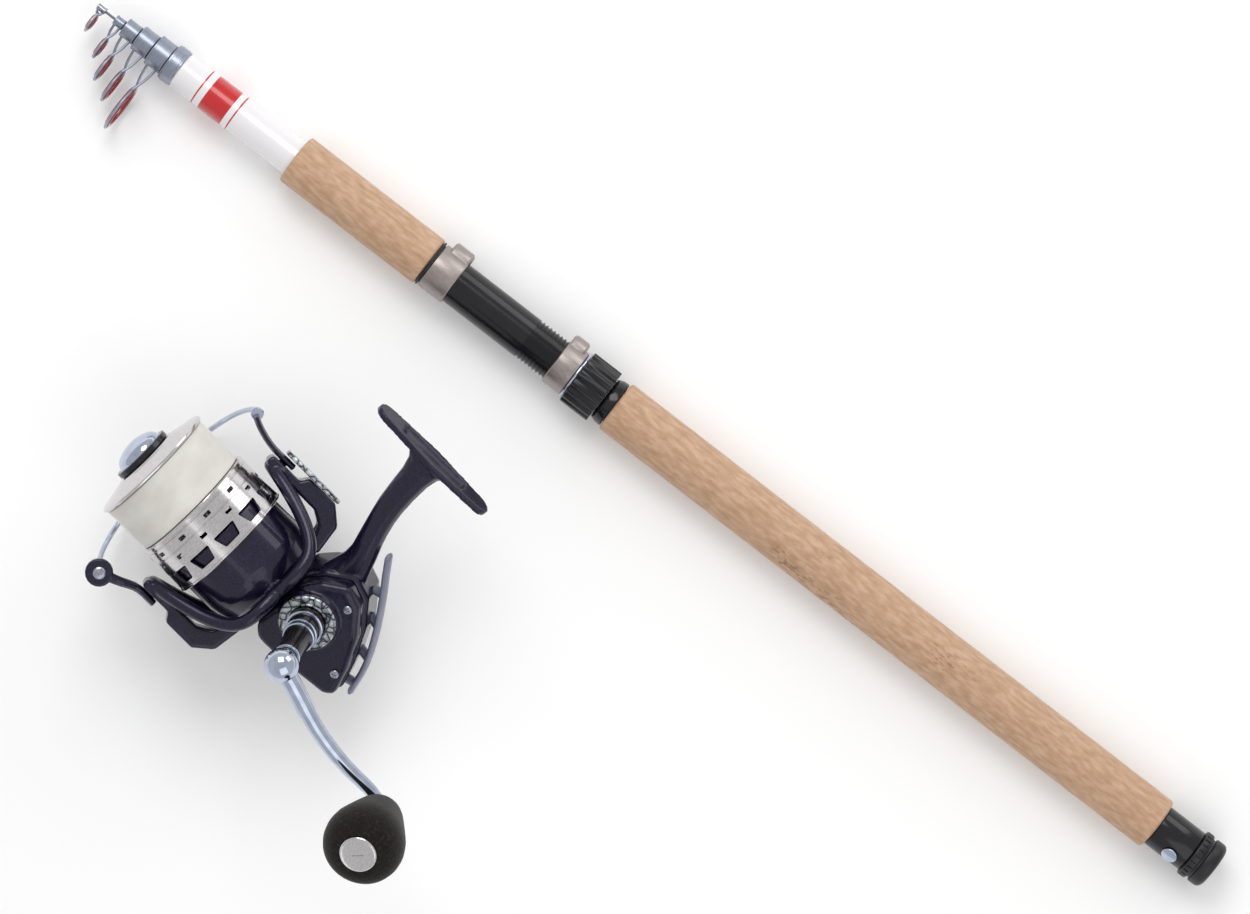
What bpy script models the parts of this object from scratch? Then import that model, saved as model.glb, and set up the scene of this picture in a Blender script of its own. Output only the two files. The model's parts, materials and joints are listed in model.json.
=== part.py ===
"""A collapsed telescopic fishing rod with a loose spinning reel lying beside it.

Sizes are in millimetres and are turned to metres by the helpers. The rod lies along X, with its tip
at -X and its butt at +X. The reel's own frame has x from the spool to the tail, y to the foot and z
along the handle shaft, and an empty sets that frame down on the floor next to the rod.
"""

import math

import bmesh
import bpy
from mathutils import Matrix, Vector

MM = 0.001
SIDES = 20
GAP = 0.3  # clearance between pieces that fit together

# ---- Rod: lengths are measured from the joint of the butt collar and the painted tube ----
BLANK_R = 8.9
BLANK_BORE = 7.6
NECK_R = 8.3
COLLAR_LENGTH = 6.5
COLLAR_R = 9.2
PAINTED_LENGTH = 65.0
FORE_GRIP_LENGTH = 76.0
FORE_GRIP_R = 12.0
TRIM_LENGTH = 1.5
HOOD_R = 11.3
HOOD_LENGTH = 13.4
SEAT_R = 10.1
SEAT_GAP = 57.0
THREAD_LENGTH = 16.0
THREAD_PITCH = 2.0
THREAD_DEPTH = 0.5
SLIDING_HOOD_LENGTH = 10.2
POCKET_R = 6.5
POCKET_RISE = 3.6
POCKET_WALL = 1.3
NUT_R = 13.25
NUT_LENGTH = 15.2
NUT_RIBS = 18
RIB_DEPTH = 0.8
CHECK_LENGTH = 6.0
CHECK_R = 11.4
REAR_GRIP_LENGTH = 307.0
REAR_GRIP_R = 12.5
SLEEVE_LENGTH = 20.0
SLEEVE_R = 10.1
CAP_LENGTH = 12.0
CAP_R = 11.6
CAP_SPIGOT = 12.0
RIVET_R = 3.8
RIVET_THICK = 0.8
RIVET_TURN = 45.0

# Each telescoping section, from the thickest: tube radius at its tip and at its butt end, wall,
# guide collar radius and length, guide hoop radius, and the clear height of the guide's legs.
SECTIONS = (
    (6.7, 7.25, 0.6, 7.6, 8.5, 11.6, 10.3),
    (5.3, 5.8, 0.55, 6.2, 8.4, 8.6, 9.0),
    (3.7, 4.4, 0.5, 4.6, 7.4, 7.2, 8.1),
    (1.6, 2.9, 0.5, 2.45, 5.1, 5.5, 5.9),
)
SECTION_STEP = 4.0
SECTION_END = 26.0
TIP_R = 0.6
TIP_BUTT_R = 0.8
TIP_LENGTH = 10.0
TIP_HOOP_R = 4.75
WIRE_R = 0.65
RING_WALL = 1.5
RING_WIDTH = 2.4

# ---- Reel: x, y and z are in the reel's own frame, from the spool axis at the handle's station ----
REEL_X = 193.0
REEL_Y = -158.0
REEL_ROLL = 24.0
REEL_PITCH = 8.0
REEL_YAW = -7.5
SHAFT_R = 2.0
SPOOL_FRONT = -98.5
LIP_X = -95.2
LIP_R = 29.7
LIP_BACK = -93.5
CORE_R = 15.0
LINE_R = 28.6
SKIRT_FRONT = -70.0
SKIRT_BACK = -45.0
SKIRT_R = 29.9
SKIRT_WALL = 1.5
DRAG_R = 14.0
DRAG_TIP = -108.0
CUP_R = 27.2
CUP_WALL = 1.6
CUP_FRONT = -54.0
CUP_BACK = -14.5
ROTOR_WEB = -26.0
PINION_R = 5.0
NECK_HOUSING_R = 12.0
LOOP_R = 37.0
LOOP_BACK_R = 22.0
LOOP_TIP = -57.0
LOOP_BACK = -17.6
ARM_INNER = 36.5
ARM_OUTER = 41.0
ARM_PAD = 45.0
ARM_HALF = 7.3
BAIL_X = -54.0
ROLLER_X = -77.5
ROLLER_V = -50.0
BAIL_R = 50.0
BAIL_BULGE = 7.0
BAIL_WIRE_R = 1.2
DRIVE_X = 1.5
DRIVE_Y = 9.0
DRIVE_R = 3.0
GEAR_R = 12.0
GEAR_TEETH = 36
PINION_TEETH = 7
BODY_BACK = -17.0
SPLIT = 7.0
COVER_TOP = 17.5
BOSS_R = 14.2
BOSS_TOP = 20.0
BALL_Z = 67.0
BALL_R = 7.7
ARM_DX = 78.0
ARM_DY = -18.0
ARM_END_Z = 62.0
KNOB_R = 18.0
KNOB_LENGTH = 41.0
FOOT_Y = 97.0
FOOT_THICK = 3.0
FOOT_FRONT = -46.0
FOOT_BACK = 20.5
FOOT_HALF = 8.0
STEM_HALF = 6.0
GUARD_HALF = 5.0

materials = {}


def finish(name, colour, roughness, metallic=0.0):
    """A Principled material, from an sRGB hex colour."""
    if name in materials:
        return materials[name]
    made = bpy.data.materials.new(name)
    made.use_nodes = True
    shader = made.node_tree.nodes["Principled BSDF"]
    channels = [int(colour[i : i + 2], 16) / 255 for i in (0, 2, 4)]
    linear = [c / 12.92 if c <= 0.04045 else ((c + 0.055) / 1.055) ** 2.4 for c in channels]
    shader.inputs["Base Color"].default_value = (*linear, 1)
    shader.inputs["Roughness"].default_value = roughness
    shader.inputs["Metallic"].default_value = metallic
    materials[name] = made
    return made


FINISHES = {
    "white paint": ("F2F0F2", 0.25, 0.0),
    "steel": ("A9A6B0", 0.3, 0.9),
    "carbon": ("5E6570", 0.35, 0.3),
    "red ring": ("8E1018", 0.3, 0.0),
    "cork": ("C9A184", 0.85, 0.0),
    "black plastic": ("1A171C", 0.45, 0.0),
    "satin nickel": ("A79C98", 0.35, 0.9),
    "chrome": ("B9C3D6", 0.12, 1.0),
    "reel lacquer": ("241F3F", 0.2, 0.2),
    "grey trim": ("7C7F92", 0.4, 0.4),
    "brass": ("B08D4A", 0.35, 1.0),
    "aluminium": ("C8C4C4", 0.25, 1.0),
    "line": ("E8E6DC", 0.4, 0.0),
    "foam": ("1C1917", 0.95, 0.0),
}


def add(name, mesh, slot, parent, at=(0, 0, 0)):
    """Puts a mesh in the scene under its parent empty, in the named finish."""
    obj = bpy.data.objects.new(name, mesh)
    mesh.materials.append(finish(slot, *FINISHES[slot]))
    bpy.context.scene.collection.objects.link(obj)
    obj.parent = parent
    obj.location = Vector(at) * MM
    return obj


def empty(name, at=(0, 0, 0), turn=(0, 0, 0), parent=None):
    """An axis or seat that pieces are placed from. Turn is in degrees."""
    obj = bpy.data.objects.new(name, None)
    bpy.context.scene.collection.objects.link(obj)
    obj.parent = parent
    obj.location = Vector(at) * MM
    obj.rotation_euler = [math.radians(a) for a in turn]
    return obj


def close_mesh(name, bm):
    """Finishes a bmesh: outward normals, smooth shading with sharp edges kept."""
    bmesh.ops.recalc_face_normals(bm, faces=bm.faces[:])
    mesh = bpy.data.meshes.new(name)
    bm.to_mesh(mesh)
    bm.free()
    mesh.shade_smooth()
    mesh.set_sharp_from_angle(angle=math.radians(35))
    return mesh


AXES = {
    "X": lambda a, r, c, s: (a, r * c, r * s),
    "Y": lambda a, r, c, s: (r * s, a, r * c),
    "Z": lambda a, r, c, s: (r * c, r * s, a),
}


def turned(name, profile, axis="X", sides=SIDES, centre=(0, 0, 0)):
    """A solid of revolution from a closed loop of (along, radius); a radius of 0 lies on the axis."""
    bm = bmesh.new()
    place = AXES[axis]
    rings = []
    for along, radius in profile:
        if radius == 0:
            point = Vector(place(along, 0, 0, 0)) + Vector(centre)
            rings.append([bm.verts.new(point * MM)] * sides)
            continue
        ring = []
        for i in range(sides):
            turn = 2 * math.pi * i / sides
            point = Vector(place(along, radius, math.cos(turn), math.sin(turn))) + Vector(centre)
            ring.append(bm.verts.new(point * MM))
        rings.append(ring)
    for k, ring in enumerate(rings):
        following = rings[(k + 1) % len(rings)]
        for i in range(sides):
            j = (i + 1) % sides
            corners = [ring[i], following[i], following[j], ring[j]]
            corners = [c for n, c in enumerate(corners) if c not in corners[:n]]
            if len(corners) > 2:
                bm.faces.new(corners)
    return close_mesh(name, bm)


def tube(inner, outer, start, end, chamfer=0.0):
    """The loop of a plain ring, with its outer edges chamfered."""
    if chamfer == 0:
        return [(start, inner), (start, outer), (end, outer), (end, inner)]
    return [
        (start, inner),
        (start, outer - chamfer),
        (start + chamfer, outer),
        (end - chamfer, outer),
        (end, outer - chamfer),
        (end, inner),
    ]


def rod_loop(radius, start, end, chamfer=0.3):
    """The loop of a solid round bar, with chamfered ends."""
    return [
        (start, 0),
        (start, radius - chamfer),
        (start + chamfer, radius),
        (end - chamfer, radius),
        (end, radius - chamfer),
        (end, 0),
    ]


def slab(name, outline, low, high, plane="XY"):
    """An outline extruded from low to high along the plane's third axis."""
    order = {
        "XY": lambda a, b, c: (a, b, c),
        "XZ": lambda a, b, c: (a, c, b),
        "YZ": lambda a, b, c: (c, a, b),
    }[plane]
    bm = bmesh.new()
    bottom = [bm.verts.new(Vector(order(a, b, low)) * MM) for a, b in outline]
    top = [bm.verts.new(Vector(order(a, b, high)) * MM) for a, b in outline]
    bm.faces.new(bottom)
    bm.faces.new(top)
    for i in range(len(outline)):
        j = (i + 1) % len(outline)
        bm.faces.new([bottom[i], bottom[j], top[j], top[i]])
    return close_mesh(name, bm)


def spline(points, count):
    """Points along a smooth curve through the given ones."""
    points = [Vector(p) for p in points]
    ends = [2 * points[0] - points[1]] + points + [2 * points[-1] - points[-2]]
    spans = len(points) - 1
    found = []
    for n in range(count + 1):
        along = spans * n / count
        k = min(int(along), spans - 1)
        t = along - k
        a, b, c, d = ends[k : k + 4]
        found.append(
            0.5 * (2 * b + (c - a) * t + (2 * a - 5 * b + 4 * c - d) * t * t
                   + (3 * b - a - 3 * c + d) * t * t * t)
        )
    return found


def swept(name, path, sizes, up, sides=8, closed=False):
    """An oval section carried along a path, with half-widths across and along up, or out from X."""
    bm = bmesh.new()
    rings = []
    count = len(path)
    for k, point in enumerate(path):
        before = path[k - 1] if closed or k else point
        after = path[(k + 1) % count] if closed or k < count - 1 else point
        tangent = (after - before).normalized()
        outward = Vector(up) if up else Vector((0, point.y, point.z))
        side = tangent.cross(outward).normalized()
        upward = side.cross(tangent)
        across, along = sizes[k] if isinstance(sizes, list) else sizes
        ring = []
        for i in range(sides):
            turn = 2 * math.pi * (i + 0.5) / sides
            offset = side * across * math.cos(turn) + upward * along * math.sin(turn)
            ring.append(bm.verts.new((point + offset) * MM))
        rings.append(ring)
    for k in range(count if closed else count - 1):
        following = rings[(k + 1) % count]
        for i in range(sides):
            j = (i + 1) % sides
            bm.faces.new([rings[k][i], rings[k][j], following[j], following[i]])
    if not closed:
        bm.faces.new(rings[0])
        bm.faces.new(rings[-1])
    return close_mesh(name, bm)


def combine(base, mesh, operation="UNION"):
    """Joins a mesh to the base object, or cuts it away, with a Boolean."""
    tool = bpy.data.objects.new(base.name + "_tool", mesh)
    bpy.context.scene.collection.objects.link(tool)
    tool.parent = base.parent
    tool.location = base.location
    tool.hide_render = True
    tool.display_type = "WIRE"
    cut = base.modifiers.new(operation.lower(), "BOOLEAN")
    cut.operation = operation
    cut.object = tool


def soften(base, width, segments=2):
    """Rounds the base object's sharp edges."""
    bevel = base.modifiers.new("edge", "BEVEL")
    bevel.width = width * MM
    bevel.segments = segments
    bevel.limit_method = "ANGLE"
    bevel.angle_limit = math.radians(35)


# ---- Rod ----
SEAT_START = PAINTED_LENGTH + FORE_GRIP_LENGTH + TRIM_LENGTH
HOOD_BACK = SEAT_START + HOOD_LENGTH
SLIDE_FRONT = HOOD_BACK + SEAT_GAP
SLIDE_BACK = SLIDE_FRONT + SLIDING_HOOD_LENGTH
NUT_FRONT = SLIDE_BACK + TRIM_LENGTH
NUT_BACK = NUT_FRONT + NUT_LENGTH
CHECK_BACK = NUT_BACK + CHECK_LENGTH
GRIP_BACK = CHECK_BACK + REAR_GRIP_LENGTH
SLEEVE_BACK = GRIP_BACK + SLEEVE_LENGTH
ROD_END = SLEEVE_BACK + CAP_LENGTH


def butt_section(seat):
    """The painted butt blank, its collar, the grips and the fittings that are glued to it."""
    end = SLEEVE_BACK - GAP
    blank = [
        (-COLLAR_LENGTH, BLANK_BORE),
        (-COLLAR_LENGTH, NECK_R),
        (GAP, NECK_R),
        (GAP, BLANK_R),
        (end, BLANK_R),
        (end, BLANK_BORE),
    ]
    add("butt_blank", turned("butt_blank", blank, sides=16), "white paint", seat)
    collar = tube(NECK_R + GAP, COLLAR_R, -COLLAR_LENGTH, 0, 0.3)
    add("butt_collar", turned("butt_collar", collar), "steel", seat)

    bore = BLANK_R + GAP
    fore = tube(bore, FORE_GRIP_R, PAINTED_LENGTH, SEAT_START - TRIM_LENGTH, 0.6)
    add("fore_grip", turned("fore_grip", fore), "cork", seat)
    trim = tube(bore, FORE_GRIP_R - 0.5, SEAT_START - TRIM_LENGTH + GAP, SEAT_START - GAP)
    add("hood_trim_ring", turned("hood_trim_ring", trim), "black plastic", seat)
    rear = tube(bore, REAR_GRIP_R, CHECK_BACK + GAP, GRIP_BACK, 0.8)
    add("rear_grip", turned("rear_grip", rear), "cork", seat)
    check = [
        (NUT_BACK + GAP, bore),
        (NUT_BACK + GAP, CHECK_R - 0.8),
        (CHECK_BACK - 3, CHECK_R),
        (CHECK_BACK, CHECK_R),
        (CHECK_BACK, bore),
    ]
    add("rear_check", turned("rear_check", check), "black plastic", seat)
    sleeve = tube(bore, SLEEVE_R, GRIP_BACK + GAP, SLEEVE_BACK - GAP, 0.3)
    add("butt_sleeve", turned("butt_sleeve", sleeve), "black plastic", seat)

    rivet_seat = empty("rivet_seat", (GRIP_BACK + 0.6 * SLEEVE_LENGTH, 0, 0), (RIVET_TURN, 0, 0), seat)
    rivet = rod_loop(RIVET_R, SLEEVE_R + GAP, SLEEVE_R + GAP + RIVET_THICK, 0.2)
    add("butt_rivet", turned("butt_rivet", rivet, "Z", 16), "chrome", rivet_seat)


def reel_seat(seat):
    """The threaded seat tube, its fixed hood, and the sliding hood with the nut that drives it."""
    bore = BLANK_R + GAP
    root = SEAT_R - THREAD_DEPTH
    ridges = [(SEAT_START, bore), (SEAT_START, SEAT_R), (SLIDE_FRONT - THREAD_LENGTH, SEAT_R)]
    for k in range(int(THREAD_LENGTH / THREAD_PITCH)):
        start = SLIDE_FRONT - THREAD_LENGTH + k * THREAD_PITCH
        ridges += [(start + 1.0, root), (start + THREAD_PITCH, SEAT_R)]
    ridges += [(NUT_BACK, SEAT_R), (NUT_BACK, bore)]
    add("seat_tube", turned("seat_tube", ridges), "black plastic", seat)

    hood_bore = SEAT_R + GAP
    front = add(
        "front_hood",
        turned("front_hood", tube(hood_bore, HOOD_R, SEAT_START + GAP, HOOD_BACK, 0.4)),
        "satin nickel",
        seat,
    )
    hood_pocket(front, SEAT_START + 3, HOOD_BACK, hood_bore, SEAT_START + 4.5, HOOD_BACK + 1)

    carriage = empty("sliding_hood_seat", (0, 0, 0), (0, 0, 0), seat)
    hood = tube(hood_bore, HOOD_R, SLIDE_FRONT, SLIDE_BACK, 0.4)
    slider = add("sliding_hood", turned("sliding_hood", hood), "satin nickel", carriage)
    hood_pocket(slider, SLIDE_FRONT, SLIDE_BACK - 2, hood_bore, SLIDE_FRONT - 1, SLIDE_BACK - 3.5)
    trim = tube(hood_bore, NUT_R - 1, SLIDE_BACK + GAP, NUT_FRONT - GAP)
    add("nut_trim_ring", turned("nut_trim_ring", trim), "chrome", carriage)

    ribs = []
    for k in range(4 * NUT_RIBS):
        radius = NUT_R if k % 4 < 2 else NUT_R - RIB_DEPTH
        turn = 2 * math.pi * (k + 0.5) / (4 * NUT_RIBS)
        ribs.append((radius * math.cos(turn), radius * math.sin(turn)))
    nut = add("lock_nut", slab("lock_nut", ribs, NUT_FRONT, NUT_BACK, "YZ"), "black plastic", seat)
    combine(nut, turned("nut_bore", rod_loop(hood_bore, NUT_FRONT - 2, NUT_BACK + 2)), "DIFFERENCE")


def hood_pocket(hood, start, end, bore, mouth_start, mouth_end):
    """The raised pocket that takes one end of the reel's foot, on the side away from the guides."""
    lift = HOOD_R - POCKET_R + POCKET_RISE
    combine(hood, turned("bump", rod_loop(POCKET_R, start, end, 1.0), sides=16, centre=(0, lift, 0)))
    combine(hood, turned("clear", rod_loop(bore, SEAT_START - 5, SLIDE_BACK + 5)), "DIFFERENCE")
    mouth = rod_loop(POCKET_R - POCKET_WALL, mouth_start, mouth_end)
    combine(hood, turned("mouth", mouth, sides=14, centre=(0, lift, 0)), "DIFFERENCE")


def guide_frame(name, seat, station, collar, bore, width, hoop_r, leg):
    """A collar with two wire legs that carry a wire hoop, and the hard ring inside the hoop."""
    reach = collar + leg + hoop_r
    frame = add(
        "guide_" + name,
        turned("guide_" + name, tube(bore, collar, station - width / 2, station + width / 2, 0.2), sides=14),
        "steel",
        seat,
    )
    hoop = []
    for k in range(16):
        turn = 2 * math.pi * k / 16
        hoop.append(Vector((station, -reach + hoop_r * math.cos(turn), hoop_r * math.sin(turn))))
    combine(frame, swept("hoop", hoop, (WIRE_R, WIRE_R), (1, 0, 0), 5, closed=True))
    for side in (-1, 1):
        spread = math.radians(38)
        foot = Vector((station + side * width * 0.3, -(collar + bore) / 2 * 0.96, side * collar * 0.28))
        top = Vector((station, -reach + hoop_r * math.cos(spread), side * hoop_r * math.sin(spread)))
        combine(frame, swept("leg", [foot, top], (WIRE_R, WIRE_R), (0, 0, 1), 6))
    ring = tube(hoop_r - WIRE_R - GAP - RING_WALL, hoop_r - WIRE_R - GAP, -RING_WIDTH / 2, RING_WIDTH / 2, 0.4)
    centre = (station, -reach, 0)
    add("guide_ring_" + name, turned("guide_ring_" + name, ring, sides=14, centre=centre), "red ring", seat)


def telescoping_sections(seat):
    """Four hollow guide sections and the solid tip, each inside the one before."""
    front = -COLLAR_LENGTH
    end = GRIP_BACK
    for number, (tip_r, butt_r, wall, collar, width, hoop_r, leg) in enumerate(SECTIONS, 1):
        tip = front - GAP - width
        carriage = empty("section_seat_%d" % number, (0, 0, 0), (0, 0, 0), seat)
        end -= SECTION_STEP
        loop = [(tip, tip_r - wall), (tip, tip_r), (end, butt_r), (end, butt_r - wall)]
        add("section_%d" % number, turned("section_%d" % number, loop, sides=12), "carbon", carriage)
        guide_frame(
            str(number), carriage, tip + width / 2, collar, tip_r + GAP + 0.05, width - 0.2, hoop_r, leg
        )
        front = tip
    carriage = empty("tip_seat", (0, 0, 0), (0, 0, 0), seat)
    tip = front - TIP_LENGTH
    loop = [(tip, 0), (tip, TIP_R), (end - SECTION_STEP, TIP_BUTT_R), (end - SECTION_STEP, 0)]
    add("tip_section", turned("tip_section", loop, sides=12), "carbon", carriage)
    guide_frame("tip", carriage, tip + 2.5, 1.6, TIP_R + GAP, 4.6, TIP_HOOP_R, 1.0)


def butt_cap(seat):
    """The cap at the butt, with the spigot that holds it in the blank."""
    carriage = empty("cap_seat", (0, 0, 0), (0, 0, 0), seat)
    groove = CAP_R - 1.4
    loop = [
        (SLEEVE_BACK - CAP_SPIGOT, 0),
        (SLEEVE_BACK - CAP_SPIGOT, BLANK_BORE - GAP),
        (SLEEVE_BACK, BLANK_BORE - GAP),
        (SLEEVE_BACK, CAP_R - 0.5),
        (SLEEVE_BACK + 0.5, CAP_R),
        (SLEEVE_BACK + 4, CAP_R),
        (SLEEVE_BACK + 4.5, groove),
        (SLEEVE_BACK + 5.5, groove),
        (SLEEVE_BACK + 6, CAP_R - 0.3),
        (ROD_END - 2, CAP_R - 0.3),
        (ROD_END, CAP_R - 2.2),
        (ROD_END, 0),
    ]
    add("butt_cap", turned("butt_cap", loop), "black plastic", carriage)


# ---- Reel ----


def reel_body(seat):
    """Gear housing, stem and foot in one casting, with the side cover that closes the housing."""
    outline = [
        (-14, -12), (-14, 19), (-8, 27), (3, 35), (14, 31), (23.5, 19), (31, 4), (36, -10), (31, -14),
        (6, -17), (-8, -17),
    ]
    body = add("reel_body", slab("reel_body", outline, BODY_BACK, SPLIT), "reel lacquer", seat)
    soften(body, 2.0)
    stem = [(-13, 14, 98), (-12.6, 8, 91), (-10.3, 6.4, 70), (-6.2, 6, 54), (-1.5, 7, 40), (0, 11, 26)]
    path = spline([(x, y, 0) for x, half, y in stem], 12)
    halves = [v.x for v in spline([(half, 0, 0) for x, half, y in stem], 12)]
    combine(body, swept("stem", path, [(half, STEM_HALF) for half in halves], (0, 0, 1), 12))
    foot = []
    for end, outward in ((FOOT_BACK, 1), (FOOT_FRONT, -1)):
        for k in range(7):
            turn = math.radians(90 - 30 * k)
            x = end - outward * 5.5 + outward * 5.5 * math.cos(turn)
            foot.append((x, outward * 5.5 * math.sin(turn)))
        foot.append(((FOOT_FRONT + FOOT_BACK) / 2, -outward * FOOT_HALF))
    combine(body, slab("foot", foot, FOOT_Y, FOOT_Y + FOOT_THICK, "XZ"))
    middle = (FOOT_FRONT + FOOT_BACK) / 2
    recess = [(middle - 18, -3.5), (middle + 18, -3.5), (middle + 18, 3.5), (middle - 18, 3.5)]
    combine(body, slab("recess", recess, FOOT_Y + FOOT_THICK - 1.2, FOOT_Y + FOOT_THICK + 1, "XZ"), "DIFFERENCE")
    combine(body, turned("housing", rod_loop(NECK_HOUSING_R, ROTOR_WEB + 2.5, CUP_BACK + 1.1), sides=20))
    clear = PINION_R + GAP + 0.1
    pocket = rod_loop(GEAR_R + 1, -10, SPLIT + 2)
    combine(body, turned("pocket", pocket, "Z", 20, (DRIVE_X, DRIVE_Y, 0)), "DIFFERENCE")
    combine(body, turned("bore", rod_loop(clear, -26, -2.5), sides=20), "DIFFERENCE")
    combine(body, turned("race", rod_loop(8.8, -24, -15.7), sides=20), "DIFFERENCE")
    combine(body, turned("slide", rod_loop(SHAFT_R + GAP, -7, 24), sides=16), "DIFFERENCE")
    combine(body, turned("blind", rod_loop(DRIVE_R + GAP, -15, -9), "Z", 16, (DRIVE_X, DRIVE_Y, 0)), "DIFFERENCE")

    inner = [
        (-13, -11), (-13, 18), (-7, 26), (3, 34), (13, 30), (22.5, 18.5), (30, 3.5), (34.5, -9.5),
        (30, -13), (6, -16), (-8, -16),
    ]
    cover = add("side_cover", slab("side_cover", inner, SPLIT + GAP, COVER_TOP), "reel lacquer", seat)
    soften(cover, 2.6)
    centre = (DRIVE_X, DRIVE_Y, 0)
    boss = [(SPLIT + 3, 0), (SPLIT + 3, BOSS_R), (COVER_TOP, BOSS_R), (BOSS_TOP, BOSS_R - 1), (BOSS_TOP, 0)]
    combine(cover, turned("boss", boss, "Z", SIDES, centre))
    combine(cover, turned("through", rod_loop(DRIVE_R + GAP, 5, 22), "Z", 16, centre), "DIFFERENCE")
    combine(cover, turned("race", rod_loop(7.8, 5, 12.3), "Z", 20, centre), "DIFFERENCE")
    combine(cover, turned("room", rod_loop(4.0, -24, 30), sides=16), "DIFFERENCE")
    bearing = tube(DRIVE_R + GAP, 7.5, SPLIT + GAP, 12.0)
    add("drive_bearing", turned("drive_bearing", bearing, "Z", 14, centre), "steel", seat)
    ring = tube(8.6, BOSS_R - 1.2, BOSS_TOP + GAP, BOSS_TOP + 1.6, 0.5)
    add("boss_ring", turned("boss_ring", ring, "Z", SIDES, centre), "chrome", seat)
    bearing = tube(PINION_R + GAP, 8.5, -21.3, -16.0)
    add("pinion_bearing", turned("pinion_bearing", bearing, sides=14), "steel", seat)
    for number, (x, y) in enumerate(((9.5, 26), (27, -1)), 1):
        head = rod_loop(2.0, COVER_TOP + GAP, COVER_TOP + 1.3, 0.4)
        mesh = turned("cover_screw_%d" % number, head, "Z", 14, (x, y, 0))
        add("cover_screw_%d" % number, mesh, "steel", seat)

    line = [(6.5, 50, 0), (11.5, 43, 0), (19, 33, 0), (28.5, 18.5, 0), (36, 4, 0), (40, -10, 0)]
    guard = swept("rear_guard", spline(line, 14), (1.6, GUARD_HALF), (0, 0, 1), 8)
    add("rear_guard", guard, "grey trim", seat)


def handle(seat):
    """Drive shaft and gear, the handle arm with its ball, and the knob that spins on its pin."""
    axis = empty("handle_axis", (DRIVE_X, DRIVE_Y, 0), (0, 0, 0), seat)
    add("handle_shaft", turned("handle_shaft", rod_loop(DRIVE_R, -14, 30), "Z", 12), "steel", axis)
    bm = bmesh.new()
    root, face, back = -6.6, -5.4, -9.2
    rings = {}
    steps = 2 * GEAR_TEETH
    for k in range(steps):
        turn = 2 * math.pi * (k + 0.5) / steps
        top = face if k % 2 else root
        c, s = math.cos(turn), math.sin(turn)
        stations = ((8.6, root), (8.6, top + 0.01), (GEAR_R, top), (GEAR_R, back), (DRIVE_R + GAP, back),
                    (DRIVE_R + GAP, root))
        rings[k] = [bm.verts.new(Vector((r * c, r * s, z)) * MM) for r, z in stations]
    for k in range(steps):
        here, there = rings[k], rings[(k + 1) % steps]
        for n in range(len(here)):
            m = (n + 1) % len(here)
            bm.faces.new([here[n], here[m], there[m], there[n]])
    add("drive_gear", close_mesh("drive_gear", bm), "brass", axis)

    collar = [
        (BOSS_TOP + 2.2, DRIVE_R + GAP), (BOSS_TOP + 2.2, 8.4), (26, 8.4), (27, 7.8), (33, 7.4), (34, 6.7),
        (42, 6.3), (57, 5.2), (58.8, 4.4), (58.8, 0), (31, 0), (31, DRIVE_R + GAP),
    ]
    add("handle_collar", turned("handle_collar", collar, "Z", 20), "black plastic", axis)

    ball = [(BALL_Z - BALL_R * math.cos(math.pi * k / 8), BALL_R * math.sin(math.pi * k / 8)) for k in range(9)]
    ball = [(z, 0 if k in (0, 8) else r) for k, (z, r) in enumerate(ball)]
    arm = add("handle_arm", turned("handle_arm", ball, "Z", 16), "chrome", axis)
    along = Vector((ARM_DX, ARM_DY, 0))
    across = Vector((0, 0, 1)).cross(along).normalized()
    stations = [(0.0, 0, 67), (0.12, -0.6, 66.8), (0.42, -3.0, 66.0), (0.66, -2.2, 64.6), (0.86, 0.2, 62.2),
                (1.0, 1.0, ARM_END_Z)]
    path = spline([along * t + across * d + Vector((0, 0, z)) for t, d, z in stations], 12)
    sizes = [(3.6 - 0.8 * k / 12, 3.3 - 0.5 * k / 12) for k in range(13)]
    combine(arm, swept("arm", path, sizes, (0, 0, 1), 10))
    end = (ARM_DX, ARM_DY, 0)
    combine(arm, turned("eye", rod_loop(4.2, ARM_END_Z - 3, ARM_END_Z + 3.4, 0.8), "Z", 14, end))

    knob_axis = empty("knob_axis", end, (0, 0, 0), axis)
    low = ARM_END_Z + 3.8
    high = low + KNOB_LENGTH
    add("knob_pin", turned("knob_pin", rod_loop(2.0, low, high - 0.3), "Z", 14), "steel", knob_axis)
    pear = [(0.0, 0.46), (0.04, 0.58), (0.22, 0.72), (0.5, 0.9), (0.7, 1.0), (0.86, 0.96), (0.96, 0.8), (1.0, 0.62)]
    loop = [(low, 2.0 + GAP)] + [(low + t * KNOB_LENGTH, r * KNOB_R) for t, r in pear] + [(high, 2.0 + GAP)]
    add("handle_knob", turned("handle_knob", loop, "Z", 24), "foam", knob_axis)
    cap = rod_loop(8.2, high + GAP, high + 1.5, 0.4)
    add("knob_cap", turned("knob_cap", cap, "Z", 24), "chrome", knob_axis)


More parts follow.
